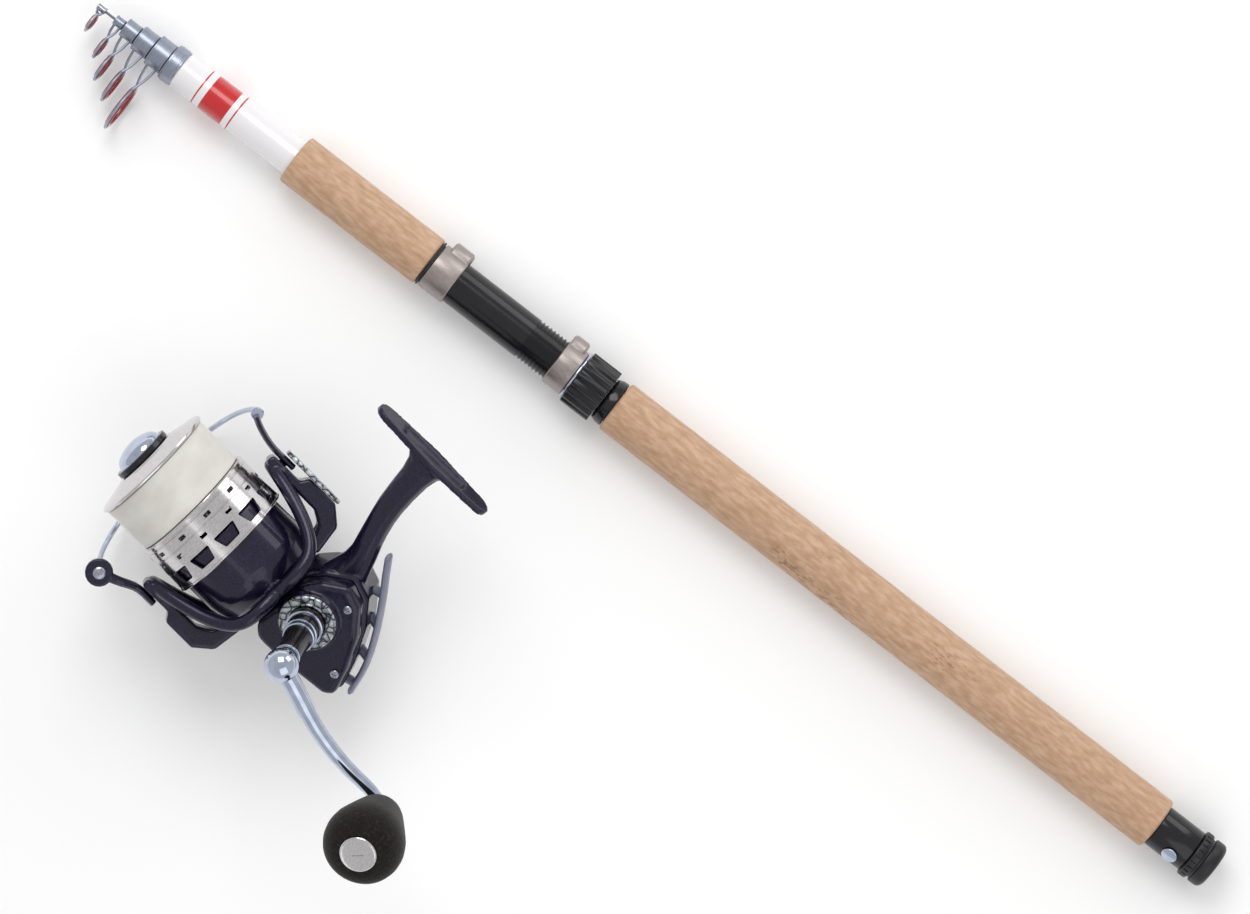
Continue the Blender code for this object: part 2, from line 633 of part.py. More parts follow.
def rotor(seat):
    """Pinion, rotor with its two arms, and the bail that swings on them."""
    axis = empty("rotor_axis", (0, 0, 0), (-REEL_ROLL, 0, 0), seat)
    bm = bmesh.new()
    stations = ((-28.0, 0), (-14.0, 0), (-13.5, 1.2), (-3.5, 1.2))
    count = 4 * PINION_TEETH
    outer, inner = [], []
    for number, (x, depth) in enumerate(stations):
        twist = 0.28 * max(0, number - 2)
        for rings, cut in ((outer, depth), (inner, None)):
            ring = []
            for k in range(count):
                turn = 2 * math.pi * k / count + twist
                radius = SHAFT_R + GAP if cut is None else PINION_R - (cut if k % 4 > 1 else 0)
                ring.append(bm.verts.new(Vector((x, radius * math.cos(turn), radius * math.sin(turn))) * MM))
            rings.append(ring)
    for k in range(count):
        j = (k + 1) % count
        for rings in (outer, inner):
            for n in range(len(stations) - 1):
                bm.faces.new([rings[n][k], rings[n + 1][k], rings[n + 1][j], rings[n][j]])
        for n in (0, -1):
            bm.faces.new([outer[n][k], outer[n][j], inner[n][j], inner[n][k]])
    add("pinion", close_mesh("pinion", bm), "brass", axis)

    web = PINION_R + GAP
    cup = [
        (CUP_FRONT, CUP_R), (-30, CUP_R), (-21, 23.5), (-16.5, 17.5), (CUP_BACK, 16), (CUP_BACK, 12.6),
        (ROTOR_WEB + 2, 12.6), (ROTOR_WEB + 2, web), (ROTOR_WEB - 1.7, web), (ROTOR_WEB - 1.7, 10),
        (-32, CUP_R - CUP_WALL - 2), (CUP_FRONT, CUP_R - CUP_WALL),
    ]
    shell = add("rotor", turned("rotor", cup, sides=24), "reel lacquer", axis)
    loop = []
    for k in range(32):
        turn = 2 * math.pi * (k + 0.5) / 32
        c, s = math.cos(turn), math.sin(turn)
        x = LOOP_BACK - (LOOP_BACK - LOOP_TIP) * abs(c) ** 7
        radius = LOOP_BACK_R + (LOOP_R - LOOP_BACK_R) * abs(c) ** 0.8
        loop.append(Vector((x, radius * c, radius * s)))
    combine(shell, swept("loop", loop, (2.9, 2.4), None, 6, closed=True))
    for side in (-1, 1):
        arm = [(-60, ARM_INNER), (-60, ARM_OUTER), (-43, ARM_OUTER), (-41, ARM_PAD), (-24, ARM_PAD), (-17, 38.3),
               (-15, 24), (-20, 21), (-24, 33), (-30, ARM_INNER)]
        arm = [(x, side * y) for x, y in arm]
        combine(shell, slab("arm", arm, -ARM_HALF, ARM_HALF))
        hole = rod_loop(2.3, side * 30, side * 46) if side > 0 else rod_loop(2.3, -46, -30)
        combine(shell, turned("pivot", hole, "Y", 14, (BAIL_X, 0, 0)), "DIFFERENCE")
    nut = tube(web, 9.0, ROTOR_WEB - 5.0, ROTOR_WEB - 2.4, 0.3)
    nut = [(x, SHAFT_R + GAP + 0.1 if r < 6 else r) for x, r in nut]
    add("rotor_nut", turned("rotor_nut", nut, sides=12), "steel", axis)
    cover = [(-56, -3.5), (-52, -6.5), (-38, -8), (-28, -6.5), (-23.5, -2.5), (-23.5, 2.5), (-28, 6.5), (-38, 8),
             (-52, 6.5), (-56, 3.5)]
    plate = slab("lever_cover", cover, ARM_PAD + GAP, ARM_PAD + 2.4, "XZ")
    add("lever_cover", plate, "chrome", axis)
    bail(axis)


def bail(axis):
    """Bail arm, lever, wire, and the line roller on its screw."""
    hinge = empty("bail_axis", (BAIL_X, 0, 0), (0, 0, 0), axis)
    near = ARM_OUTER + GAP + 0.1
    reach = ROLLER_X - BAIL_X
    path = spline([(4, -near - 1.8, 0), (-6, -near - 1.9, 0.4), (-15, -46.8, 4.9), (reach, ROLLER_V, 5.3)], 10)
    sizes = [(1.75 + 0.08 * k, 4.2 - 0.25 * k) for k in range(11)]
    arm = add("bail_arm", swept("bail_arm", path, sizes, (0, 0, 1), 8), "reel lacquer", hinge)
    combine(arm, turned("pivot_pin", rod_loop(2.0, -near - 1, -ARM_INNER + 0.5), "Y", 14))
    roller = (reach, ROLLER_V, 0)
    combine(arm, turned("roller_boss", rod_loop(6.3, 3.0, 7.6, 0.6), "Z", 18, roller))
    combine(arm, turned("screw_hole", rod_loop(1.9, 0, 10), "Z", 14, roller), "DIFFERENCE")
    add("roller_screw", turned("roller_screw", [
        (-3.2, 0), (-3.2, 1.6), (7.9, 1.6), (7.9, 2.8), (8.6, 2.8), (9.0, 2.3), (9.0, 0),
    ], "Z", 14, roller), "steel", hinge)
    spin = empty("roller_axis", roller, (0, 0, 0), hinge)
    groove = [(-2.8, 1.9), (-2.8, 5.2), (-1.2, 4.2), (1.2, 4.2), (2.7, 5.2), (2.7, 1.9)]
    add("line_roller", turned("line_roller", groove, "Z", 20), "chrome", spin)

    lever_path = spline([(5, near + 1.7, 0), (-8, near + 1.7, 0), (-17, 45.0, 0), (-23, 47.5, 0)], 10)
    lever = add("bail_lever", swept("bail_lever", lever_path, (1.6, 4.6), (0, 0, 1), 8), "reel lacquer", hinge)
    combine(lever, turned("pivot_pin", rod_loop(2.0, ARM_INNER - 0.5, near + 1), "Y", 14))

    wire = [(reach, ROLLER_V, -3.6), (reach, ROLLER_V, -6.5)]
    for k in range(1, 12):
        turn = math.pi * k / 12
        bulge = BAIL_BULGE * math.sin(turn)
        wire.append((reach + 0.5 - bulge, -BAIL_R * math.cos(turn), -BAIL_R * math.sin(turn) - 4 * math.sin(turn)))
    wire += [(reach + 0.5, BAIL_R + 0.3, -6.8)]
    path = spline(wire, 30)
    hoop = add("bail_wire", swept("bail_wire", path, (BAIL_WIRE_R, BAIL_WIRE_R), (1, 0, 0), 6), "chrome", hinge)
    combine(hoop, turned("cup", rod_loop(4.6, -5.6, -3.5, 0.5), "Z", 16, roller))


def spool(seat):
    """Main shaft, spool with its skirt, the wound line, and the drag knob on its washers."""
    carriage = empty("shaft_seat", (0, 0, 0), (0, 0, 0), seat)
    add("main_shaft", turned("main_shaft", rod_loop(SHAFT_R, -103, 20), sides=16), "steel", carriage)
    axis = empty("spool_axis", (0, 0, 0), (0, 0, 0), carriage)
    bore = SHAFT_R + GAP
    recess = 13.2
    loop = [
        (-84, bore), (-84, recess), (SPOOL_FRONT, recess), (SPOOL_FRONT, recess + 1.8), (LIP_X, LIP_R - 0.4),
        (LIP_X + 0.5, LIP_R), (LIP_BACK, LIP_R), (LIP_BACK, CORE_R), (SKIRT_FRONT, CORE_R),
        (SKIRT_FRONT, SKIRT_R - 0.4), (SKIRT_FRONT + 0.5, SKIRT_R), (SKIRT_BACK, SKIRT_R),
        (SKIRT_BACK, SKIRT_R - SKIRT_WALL), (SKIRT_FRONT + 2, SKIRT_R - SKIRT_WALL), (SKIRT_FRONT + 2, 8),
        (-60, 8), (-60, bore),
    ]
    add("spool", turned("spool", loop, sides=28), "aluminium", axis)
    pack = [
        (LIP_BACK + GAP, CORE_R + GAP), (LIP_BACK + GAP, LINE_R - 0.3), (-88, LINE_R), (-76, LINE_R),
        (SKIRT_FRONT - GAP, LINE_R - 0.3), (SKIRT_FRONT - GAP, CORE_R + GAP),
    ]
    add("line_pack", turned("line_pack", pack, sides=28), "line", axis)
    add("drag_washers", turned("drag_washers", tube(bore, 12.6, -91, -84.3), sides=16), "steel", carriage)

    knob = [(-99.2, bore), (-99.2, DRAG_R), (-101.8, DRAG_R), (-102.3, 11.2)]
    dome = [(-102.3 - 5.7 * math.sin(math.radians(a)), 11.2 * math.cos(math.radians(a))) for a in (25, 50, 72)]
    knob += dome + [(DRAG_TIP, 0), (-103.5, 0), (-103.5, bore)]
    add("drag_knob", turned("drag_knob", knob, sides=24), "chrome", axis)


def place():
    """Stands the reel on the floor beside the rod, then centres the whole on the origin."""
    rod_seat = empty("rod_seat", (0, 0, NUT_R))
    reel_seat_empty = empty("reel_seat", (REEL_X, REEL_Y, 0))
    turn = (
        Matrix.Rotation(math.radians(REEL_YAW), 3, "Z")
        @ Matrix.Rotation(math.radians(REEL_PITCH), 3, "Y")
        @ Matrix.Rotation(math.radians(REEL_ROLL), 3, "X")
    )
    reel_seat_empty.rotation_euler = turn.to_euler()
    return rod_seat, reel_seat_empty


def box(objects):
    """Lowest and highest corners of the objects' evaluated meshes."""
    graph = bpy.context.evaluated_depsgraph_get()
    points = []
    for obj in objects:
        shape = obj.evaluated_get(graph)
        points += [shape.matrix_world @ v.co for v in shape.data.vertices]
    low = Vector([min(p[k] for p in points) for k in range(3)])
    high = Vector([max(p[k] for p in points) for k in range(3)])
    return low, high


def rooted_in(obj, root):
    while obj.parent:
        obj = obj.parent
    return obj is root


def main():
    for obj in list(bpy.data.objects):
        bpy.data.objects.remove(obj)
    rod, reel = place()
    butt_section(rod)
    reel_seat(rod)
    telescoping_sections(rod)
    butt_cap(rod)
    reel_body(reel)
    handle(reel)
    rotor(reel)
    spool(reel)
    bpy.context.view_layer.update()
    solids = [o for o in bpy.data.objects if o.type == "MESH" and not o.hide_render]
    for root in (rod, reel):
        low, high = box([o for o in solids if rooted_in(o, root)])
        root.location.z -= low.z
    bpy.context.view_layer.update()
    low, high = box(solids)
    for root in (rod, reel):
        root.location.x -= (low.x + high.x) / 2
        root.location.y -= (low.y + high.y) / 2
    bpy.context.view_layer.update()


main()
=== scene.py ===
"""The looks of a collapsed telescopic fishing rod and a loose spinning reel, built around the packed frame."""

import json
import math

import bpy
from bpy.props import FloatProperty, IntProperty, PointerProperty
from mathutils import Matrix, Vector


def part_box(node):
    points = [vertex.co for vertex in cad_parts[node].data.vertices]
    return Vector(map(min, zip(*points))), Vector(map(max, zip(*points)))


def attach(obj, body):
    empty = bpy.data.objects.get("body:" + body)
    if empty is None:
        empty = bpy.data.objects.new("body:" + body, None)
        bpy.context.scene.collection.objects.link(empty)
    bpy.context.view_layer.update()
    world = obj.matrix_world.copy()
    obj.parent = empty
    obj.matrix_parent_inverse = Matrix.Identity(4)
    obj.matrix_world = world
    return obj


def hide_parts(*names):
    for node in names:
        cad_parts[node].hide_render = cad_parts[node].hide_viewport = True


bl_info = {
    "name": "Fishing rod and reel",
    "version": (1, 0, 0),
    "blender": (4, 5, 0),
    "location": "View3D > Sidebar > Rod and reel",
    "description": "Builds a telescopic rod and a spinning reel in mesh, with their finishes",
    "category": "Object",
}

MM = 0.001
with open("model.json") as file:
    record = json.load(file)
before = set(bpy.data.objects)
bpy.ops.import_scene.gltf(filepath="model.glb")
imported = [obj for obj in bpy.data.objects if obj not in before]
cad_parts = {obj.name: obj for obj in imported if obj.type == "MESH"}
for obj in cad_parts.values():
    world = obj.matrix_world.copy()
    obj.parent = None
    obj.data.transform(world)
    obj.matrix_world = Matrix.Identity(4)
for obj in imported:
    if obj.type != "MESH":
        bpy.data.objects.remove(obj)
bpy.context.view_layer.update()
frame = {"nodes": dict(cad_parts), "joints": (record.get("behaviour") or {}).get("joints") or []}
JOINTS = {joint["name"]: joint for joint in frame["joints"]}


# ---- Places, read from the frame ----


def columns(x, y, z, origin):
    """A placement matrix from three directions and an origin."""
    placed = Matrix((x, y, z)).transposed().to_4x4()
    placed.translation = Vector(origin)
    return placed


def axis_of(joint):
    return Vector(JOINTS[joint]["axis"]).normalized()


SPOOL_AXIS = axis_of("rotor_spin")
HANDLE_AXIS = axis_of("handle_turn")
ARM_AXIS = axis_of("bail_open")
REEL_ORIGIN = Vector(JOINTS["rotor_spin"]["pos_m"])
FOOT_AXIS = HANDLE_AXIS.cross(SPOOL_AXIS)
REEL = columns(SPOOL_AXIS, FOOT_AXIS, HANDLE_AXIS, REEL_ORIGIN)
ROTOR = columns(SPOOL_AXIS, ARM_AXIS, SPOOL_AXIS.cross(ARM_AXIS), REEL_ORIGIN)
DRIVE = columns(SPOOL_AXIS, FOOT_AXIS, HANDLE_AXIS, JOINTS["handle_turn"]["pos_m"])
KNOB = DRIVE @ Matrix.Translation(Vector((78, -18, 0)) * MM)
ALONG_X = Matrix(((0, 0, 1, 0), (1, 0, 0, 0), (0, 1, 0, 0), (0, 0, 0, 1)))
COLLAR_LOW, COLLAR_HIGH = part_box("butt_collar")
COLLAR_MIDDLE = (COLLAR_LOW + COLLAR_HIGH) / 2
ROD = Matrix.Translation((COLLAR_HIGH.x, COLLAR_MIDDLE.y, COLLAR_MIDDLE.z))


def span(node):
    """A rod node's start and end along the rod, in millimetres from the butt collar."""
    low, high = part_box(node)
    return (low.x - ROD.translation.x) / MM, (high.x - ROD.translation.x) / MM


def across(node):
    """Half of a rod node's height, in millimetres."""
    low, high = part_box(node)
    return (high.z - low.z) / 2 / MM


# ---- Mesh work ----


def only(obj):
    """Selects one object and nothing else."""
    for other in bpy.context.selected_objects:
        other.select_set(False)
    obj.select_set(True)
    bpy.context.view_layer.objects.active = obj
    bpy.context.tool_settings.mesh_select_mode = (True, False, False)


def fix_place(obj, matrix):
    """Puts an object's place into its mesh, with the object left at the origin."""
    obj.data.transform(matrix @ obj.matrix_world)
    obj.matrix_world = Matrix.Identity(4)
    obj.data.update()


def outwards(obj, weld=0.00001):
    """Merges doubles and points the faces out."""
    only(obj)
    bpy.ops.object.mode_set(mode="EDIT")
    bpy.ops.mesh.select_all(action="SELECT")
    bpy.ops.mesh.remove_doubles(threshold=weld)
    bpy.ops.mesh.normals_make_consistent(inside=False)
    bpy.ops.object.mode_set(mode="OBJECT")


def smooth(obj, angle=35):
    only(obj)
    bpy.ops.object.shade_smooth_by_angle(angle=math.radians(angle))


def modify(obj, kind, **settings):
    """Adds a modifier with its settings and applies it."""
    only(obj)
    made = obj.modifiers.new(kind.title(), kind)
    for key, value in settings.items():
        setattr(made, key, value)
    bpy.ops.object.modifier_apply(modifier=made.name)


def turned(name, profile, matrix=None, sides=64, closed=False):
    """A round piece drawn up along Z: a circle is extruded and scaled from station to station."""
    height, radius = profile[0]
    bpy.ops.mesh.primitive_circle_add(
        vertices=sides, radius=radius * MM, fill_type="NOTHING", location=(0, 0, height * MM)
    )
    obj = bpy.context.active_object
    obj.name = name
    only(obj)
    bpy.ops.object.mode_set(mode="EDIT")
    bpy.ops.mesh.select_all(action="SELECT")
    if not closed:
        bpy.ops.mesh.edge_face_add()
    for next_height, next_radius in profile[1:]:
        step = (next_height - height) * MM
        bpy.ops.mesh.extrude_region_move(TRANSFORM_OT_translate={"value": (0, 0, step)})
        scale = next_radius / radius
        bpy.ops.transform.resize(value=(scale, scale, 1))
        height, radius = next_height, next_radius
    if closed:
        step = (profile[0][0] - height) * MM
        bpy.ops.mesh.extrude_region_move(TRANSFORM_OT_translate={"value": (0, 0, step)})
        scale = profile[0][1] / radius
        bpy.ops.transform.resize(value=(scale, scale, 1))
    bpy.ops.object.mode_set(mode="OBJECT")
    outwards(obj)
    fix_place(obj, matrix or Matrix.Identity(4))
    smooth(obj)
    return obj


def turned_x(name, profile, matrix, sides=64, closed=False):
    """A round piece whose profile runs along the placement's X."""
    return turned(name, profile, matrix @ ALONG_X, sides, closed)


def ring_profile(inner, outer, start, end, edge=0.3):
    """The closed outline of a ring with small rounded outer edges."""
    return [
        (start, inner),
        (start, outer - edge),
        (start + 0.3 * edge, outer - 0.3 * edge),
        (start + edge, outer),
        (end - edge, outer),
        (end - 0.3 * edge, outer - 0.3 * edge),
        (end, outer - edge),
        (end, inner),
    ]


def wire(name, points, radius, matrix, sides=5, cyclic=False):
    """A round wire along points in millimetres, or a tapered one when each point has its own radius."""
    curve = bpy.data.curves.new(name, "CURVE")
    curve.dimensions = "3D"
    curve.bevel_depth = MM
    curve.bevel_resolution = sides
    curve.use_fill_caps = True
    line = curve.splines.new("POLY")
    line.points.add(len(points) - 1)
    for k, point in enumerate(points):
        line.points[k].co = (*(Vector(point) * MM), 1)
        line.points[k].radius = radius[k] if isinstance(radius, list) else radius
    line.use_cyclic_u = cyclic
    obj = bpy.data.objects.new(name, curve)
    bpy.context.scene.collection.objects.link(obj)
    only(obj)
    bpy.ops.object.convert(target="MESH")
    obj = bpy.context.active_object
    outwards(obj)
    fix_place(obj, matrix)
    smooth(obj, 50)
    return obj


def spline(points, count):
    """Points along a smooth curve through the given ones."""
    points = [Vector(p) for p in points]
    ends = [2 * points[0] - points[1]] + points + [2 * points[-1] - points[-2]]
    found = []
    for n in range(count + 1):
        along = (len(points) - 1) * n / count
        k = min(int(along), len(points) - 2)
        t = along - k
        a, b, c, d = ends[k : k + 4]
        cubic = (3 * b - a - 3 * c + d) * t**3 + (2 * a - 5 * b + 4 * c - d) * t**2
        found.append(0.5 * (2 * b + (c - a) * t + cubic))
    return found


def block(name, size, at, turn=(0, 0, 0), taper=1.0, edge=0.0):
    """A box that is drawn in at its +Z end, with its edges bevelled. Sizes and place are in millimetres."""
    bpy.ops.mesh.primitive_cube_add(size=1, location=(0, 0, 0))
    obj = bpy.context.active_object
    obj.name = name
    obj.data.transform(Matrix.Diagonal((*[s * MM for s in size], 1)))
    only(obj)
    bpy.ops.object.mode_set(mode="EDIT")
    bpy.ops.mesh.select_all(action="DESELECT")
    bpy.ops.object.mode_set(mode="OBJECT")
    for face in obj.data.polygons:
        face.select = face.normal.z > 0.5
    bpy.context.tool_settings.mesh_select_mode = (False, False, True)
    bpy.ops.object.mode_set(mode="EDIT")
    bpy.ops.transform.resize(value=(taper, taper, 1))
    if edge:
        bpy.ops.mesh.select_all(action="SELECT")
        bpy.ops.mesh.bevel(offset=edge * MM, segments=2)
    bpy.ops.object.mode_set(mode="OBJECT")
    turned_by = Matrix.Rotation(turn[2], 4, "Z") @ Matrix.Rotation(turn[1], 4, "Y")
    turned_by = turned_by @ Matrix.Rotation(turn[0], 4, "X")
    fix_place(obj, Matrix.Translation(Vector(at) * MM) @ turned_by)
    return obj


def cut(obj, tools, operation="DIFFERENCE"):
    """Cuts the tools out of a piece, or joins them to it, and removes them."""
    only(tools[0])
    for tool in tools[1:]:
        tool.select_set(True)
    if len(tools) > 1:
        bpy.ops.object.join()
    tool = bpy.context.active_object
    modify(obj, "BOOLEAN", object=tool, operation=operation, solver="EXACT", use_self=len(tools) > 1)
    bpy.data.objects.remove(tool)
    outwards(obj, 0.000002)


def copied(node, name):
    """A merged copy of a CAD node, with its flat faces whole again."""
    obj = frame["nodes"][node].copy()
    obj.data = obj.data.copy()
    obj.name = name
    for key in list(obj.keys()):
        del obj[key]
    obj.parent = None
    bpy.context.scene.collection.objects.link(obj)
    outwards(obj)
    only(obj)
    bpy.ops.object.mode_set(mode="EDIT")
    bpy.ops.mesh.select_all(action="SELECT")
    bpy.ops.mesh.dissolve_limited(angle_limit=math.radians(1))
    bpy.ops.object.mode_set(mode="OBJECT")
    obj.data.materials.clear()
    return obj


def crisp(node, name, edge=0.25):
    """A copy of a CAD node with its hard edges broken by a small bevel."""
    obj = copied(node, name)
    modify(obj, "BEVEL", width=edge * MM, segments=2, limit_method="ANGLE", angle_limit=math.radians(38))
    smooth(obj)
    return obj


def cast(obj, voxel=0.55, rounds=8):
    """Turns a piece made of joined shapes into one even skin with soft edges, as a casting has."""
    modify(obj, "REMESH", mode="VOXEL", voxel_size=voxel * MM)
    modify(obj, "SMOOTH", factor=0.5, iterations=rounds)
    only(obj)
    bpy.ops.object.shade_smooth()
    return obj


def joined(pieces, name):
    only(pieces[0])
    for piece in pieces[1:]:
        piece.select_set(True)
    bpy.ops.object.join()
    obj = bpy.context.active_object
    obj.name = name
    return obj


def done(obj, body, material, slot, *nodes):
    """Gives a finished piece its material, its body and the CAD nodes that it stands for."""
    obj.data.materials.clear()
    obj.data.materials.append(material)
    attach(obj, body)
    if nodes:
        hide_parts(*nodes)
    return obj


# ---- Materials ----


def colour(code):
    """An sRGB hex colour as linear values."""
    channels = [int(code[i : i + 2], 16) / 255 for i in (0, 2, 4)]
    return (*[c / 12.92 if c <= 0.04045 else ((c + 0.055) / 1.055) ** 2.4 for c in channels], 1)


def node(tree, kind, inputs=(), **settings):
    """Adds a node with its settings. Inputs are pairs of a socket and a value or another node's output."""
    made = tree.nodes.new(kind)
    for key, value in settings.items():
        setattr(made, key, value)
    for socket, value in inputs:
        if isinstance(value, bpy.types.NodeSocket):
            tree.links.new(value, made.inputs[socket])
        else:
            made.inputs[socket].default_value = value
    return made


def finish(name, **constants):
    """A Principled material with its constants on the shader's own sockets."""
    made = bpy.data.materials.new(name)
    made.use_nodes = True
    shader = made.node_tree.nodes["Principled BSDF"]
    for key, value in constants.items():
        shader.inputs[key.replace("_", " ")].default_value = value
    return made, made.node_tree, shader


def patterned(tree, scale, detail=4.0, stretch=(1, 1, 1), kind="ShaderNodeTexNoise", **settings):
    """A pattern on Object coordinates. Scale is how many repeats there are in a metre."""
    place = node(tree, "ShaderNodeTexCoord").outputs["Object"]
    place = node(tree, "ShaderNodeMapping", [("Vector", place), ("Scale", stretch)]).outputs[0]
    inputs = [("Vector", place), ("Scale", scale)]
    if kind == "ShaderNodeTexNoise":
        inputs.append(("Detail", detail))
    return node(tree, kind, inputs, **settings)


def ramp(tree, value, stops):
    """A colour ramp from pairs of a position and an sRGB hex colour."""
    made = node(tree, "ShaderNodeValToRGB", [("Fac", value)])
    points = made.color_ramp.elements
    while len(points) < len(stops):
        points.new(0.5)
    for point, (position, code) in zip(points, stops):
        point.position = position
        point.color = colour(code)
    return made.outputs["Color"]


def bumped(tree, shader, height, depth, strength=1.0):
    """Feeds a height to the shader's normal. Depth is in millimetres."""
    made = node(tree, "ShaderNodeBump", [("Height", height), ("Distance", depth * MM), ("Strength", strength)])
    tree.links.new(made.outputs["Normal"], shader.inputs["Normal"])


def worn(tree, shader, low, high, scale=180):
    """Roughness that wanders between two values, as a handled surface's does."""
    smudge = patterned(tree, scale, 5.0)
    spread = node(
        tree, "ShaderNodeMapRange", [("Value", smudge.outputs[0]), ("To Min", low), ("To Max", high)]
    )
    tree.links.new(spread.outputs["Result"], shader.inputs["Roughness"])


def natural_cork():
    """Natural cork, turned and sanded: matt and warm, with fine grain, dark pits and a few stained patches."""
    made, tree, shader = finish("natural_cork", IOR=1.45, Specular_IOR_Level=0.5)
    grain = patterned(tree, 520, 10.0, (0.3, 1, 1))
    browns = [(0.25, "A98467"), (0.48, "BA9678"), (0.62, "C4A387"), (0.85, "D0B297")]
    tone = ramp(tree, grain.outputs[0], browns)
    drift = patterned(tree, 38, 3.0, (0.6, 1, 1))
    tone = node(
        tree, "ShaderNodeMix",
        [("Factor", ramp(tree, drift.outputs[0], [(0.35, "000000"), (0.7, "5A5A5A")])), ("A", tone),
         ("B", colour("B98A6A"))],
        data_type="RGBA",
    )
    # 1 to 3 mm pits, long across the grip, where the cork's pores are cut open.
    pits = patterned(tree, 330, 3.0, (0.55, 1.6, 1.6))
    pit = ramp(tree, pits.outputs[0], [(0.7, "000000"), (0.76, "D0D0D0")])
    patch = patterned(tree, 30, 2.0, (0.5, 1, 1))
    stained = ramp(tree, patch.outputs[0], [(0.62, "000000"), (0.7, "FFFFFF")])
    flecks = patterned(tree, 620, 4.0, (0.5, 1.2, 1.2))
    fleck = ramp(tree, flecks.outputs[0], [(0.52, "000000"), (0.6, "FFFFFF")])
    scar = node(tree, "ShaderNodeMath", [(0, stained), (1, fleck)], operation="MULTIPLY").outputs[0]
    dark = node(tree, "ShaderNodeMath", [(0, pit), (1, scar)], operation="MAXIMUM").outputs[0]
    weak = node(tree, "ShaderNodeMath", [(0, dark), (1, 0.62)], operation="MULTIPLY").outputs[0]
    mixed = node(
        tree, "ShaderNodeMix", [("Factor", weak), ("A", tone.outputs["Result"]), ("B", colour("7A5238"))],
        data_type="RGBA",
    )
    tree.links.new(mixed.outputs["Result"], shader.inputs["Base Color"])
    worn(tree, shader, 0.38, 0.6, 250)
    height = node(tree, "ShaderNodeMath", [(0, grain.outputs[0]), (1, dark)], operation="SUBTRACT").outputs[0]
    bumped(tree, shader, height, 0.12, 0.6)
    return made


def banded_lacquer():
    """White two-pack lacquer over the blank, with one red band and fine red lines: glossy and even."""
    made, tree, shader = finish("banded_lacquer", IOR=1.5, Coat_Weight=0.6, Coat_Roughness=0.05)
    place = node(tree, "ShaderNodeTexCoord").outputs["Object"]
    x = node(tree, "ShaderNodeSeparateXYZ", [("Vector", place)]).outputs["X"]
    sizes = bpy.context.scene.rod_sizes
    start = ROD.translation.x
    half = sizes.band_width / 2
    # A fine line, 0.7 mm wide, stands off each edge of the band.
    before, after, line_half = sizes.band_at - half - 0.0036, sizes.band_at + half + 0.0032, 0.00035
    bands = [(sizes.band_at, half), (before, line_half), (after, line_half)]
    mask = None
    for centre, reach in bands:
        off = node(tree, "ShaderNodeMath", [(0, x), (1, start + centre)], operation="SUBTRACT").outputs[0]
        off = node(tree, "ShaderNodeMath", [(0, off)], operation="ABSOLUTE").outputs[0]
        inside = node(tree, "ShaderNodeMath", [(0, off), (1, reach)], operation="LESS_THAN").outputs[0]
        if mask is None:
            mask = inside
        else:
            mask = node(tree, "ShaderNodeMath", [(0, mask), (1, inside)], operation="MAXIMUM").outputs[0]
    paint = node(
        tree, "ShaderNodeMix", [("Factor", mask), ("A", colour("E6E4E6")), ("B", colour("C00814"))],
        data_type="RGBA",
    )
    tree.links.new(paint.outputs["Result"], shader.inputs["Base Color"])
    worn(tree, shader, 0.16, 0.28)
    bumped(tree, shader, patterned(tree, 420, 2.0).outputs[0], 0.02, 0.4)
    return made


def metal(name, code, dull, bright, brushing=(1, 1, 1), scale=900, depth=0.015, shade=None):
    """A bare metal whose roughness follows its last tool: long across for brushing, even for polish."""
    made, tree, shader = finish(name, Metallic=1.0)
    marks = patterned(tree, scale, 4.0, brushing)
    tone = ramp(tree, marks.outputs[0], [(0.3, shade or code), (0.7, code)])
    tree.links.new(tone, shader.inputs["Base Color"])
    spread = node(
        tree, "ShaderNodeMapRange", [("Value", marks.outputs[0]), ("To Min", bright), ("To Max", dull)]
    )
    tree.links.new(spread.outputs["Result"], shader.inputs["Roughness"])
    bumped(tree, shader, marks.outputs[0], depth, 0.5)
    return made


def moulded(name, low_code, high_code, low, high, scale=1400, depth=0.03):
    """Moulded plastic: a fine spark-eroded texture from the mould, slightly uneven in tone."""
    made, tree, shader = finish(name, IOR=1.49, Specular_IOR_Level=0.45)
    skin = patterned(tree, scale, 3.0)
    tone = ramp(tree, patterned(tree, 60, 4.0).outputs[0], [(0.35, low_code), (0.7, high_code)])
    tree.links.new(tone, shader.inputs["Base Color"])
    worn(tree, shader, low, high)
    bumped(tree, shader, skin.outputs[0], depth, 0.5)
    return made


def flake_lacquer():
    """Car lacquer on die-cast metal: near-black violet with fine flake under a deep clear coat."""
    made, tree, shader = finish(
        "flake_lacquer", Metallic=0.3, IOR=1.5, Specular_IOR_Level=0.35, Coat_Weight=0.4, Coat_Roughness=0.04
    )
    # The real flake is about 0.05 mm; it is drawn at 0.4 mm so that it shows.
    flake = patterned(tree, 2500, kind="ShaderNodeTexVoronoi")
    glint = ramp(tree, flake.outputs["Color"], [(0.0, "0A0716"), (0.6, "130E27"), (1.0, "2C2254")])
    tree.links.new(glint, shader.inputs["Base Color"])
    worn(tree, shader, 0.22, 0.36)
    bumped(tree, shader, patterned(tree, 300, 2.0).outputs[0], 0.01, 0.3)
    return made


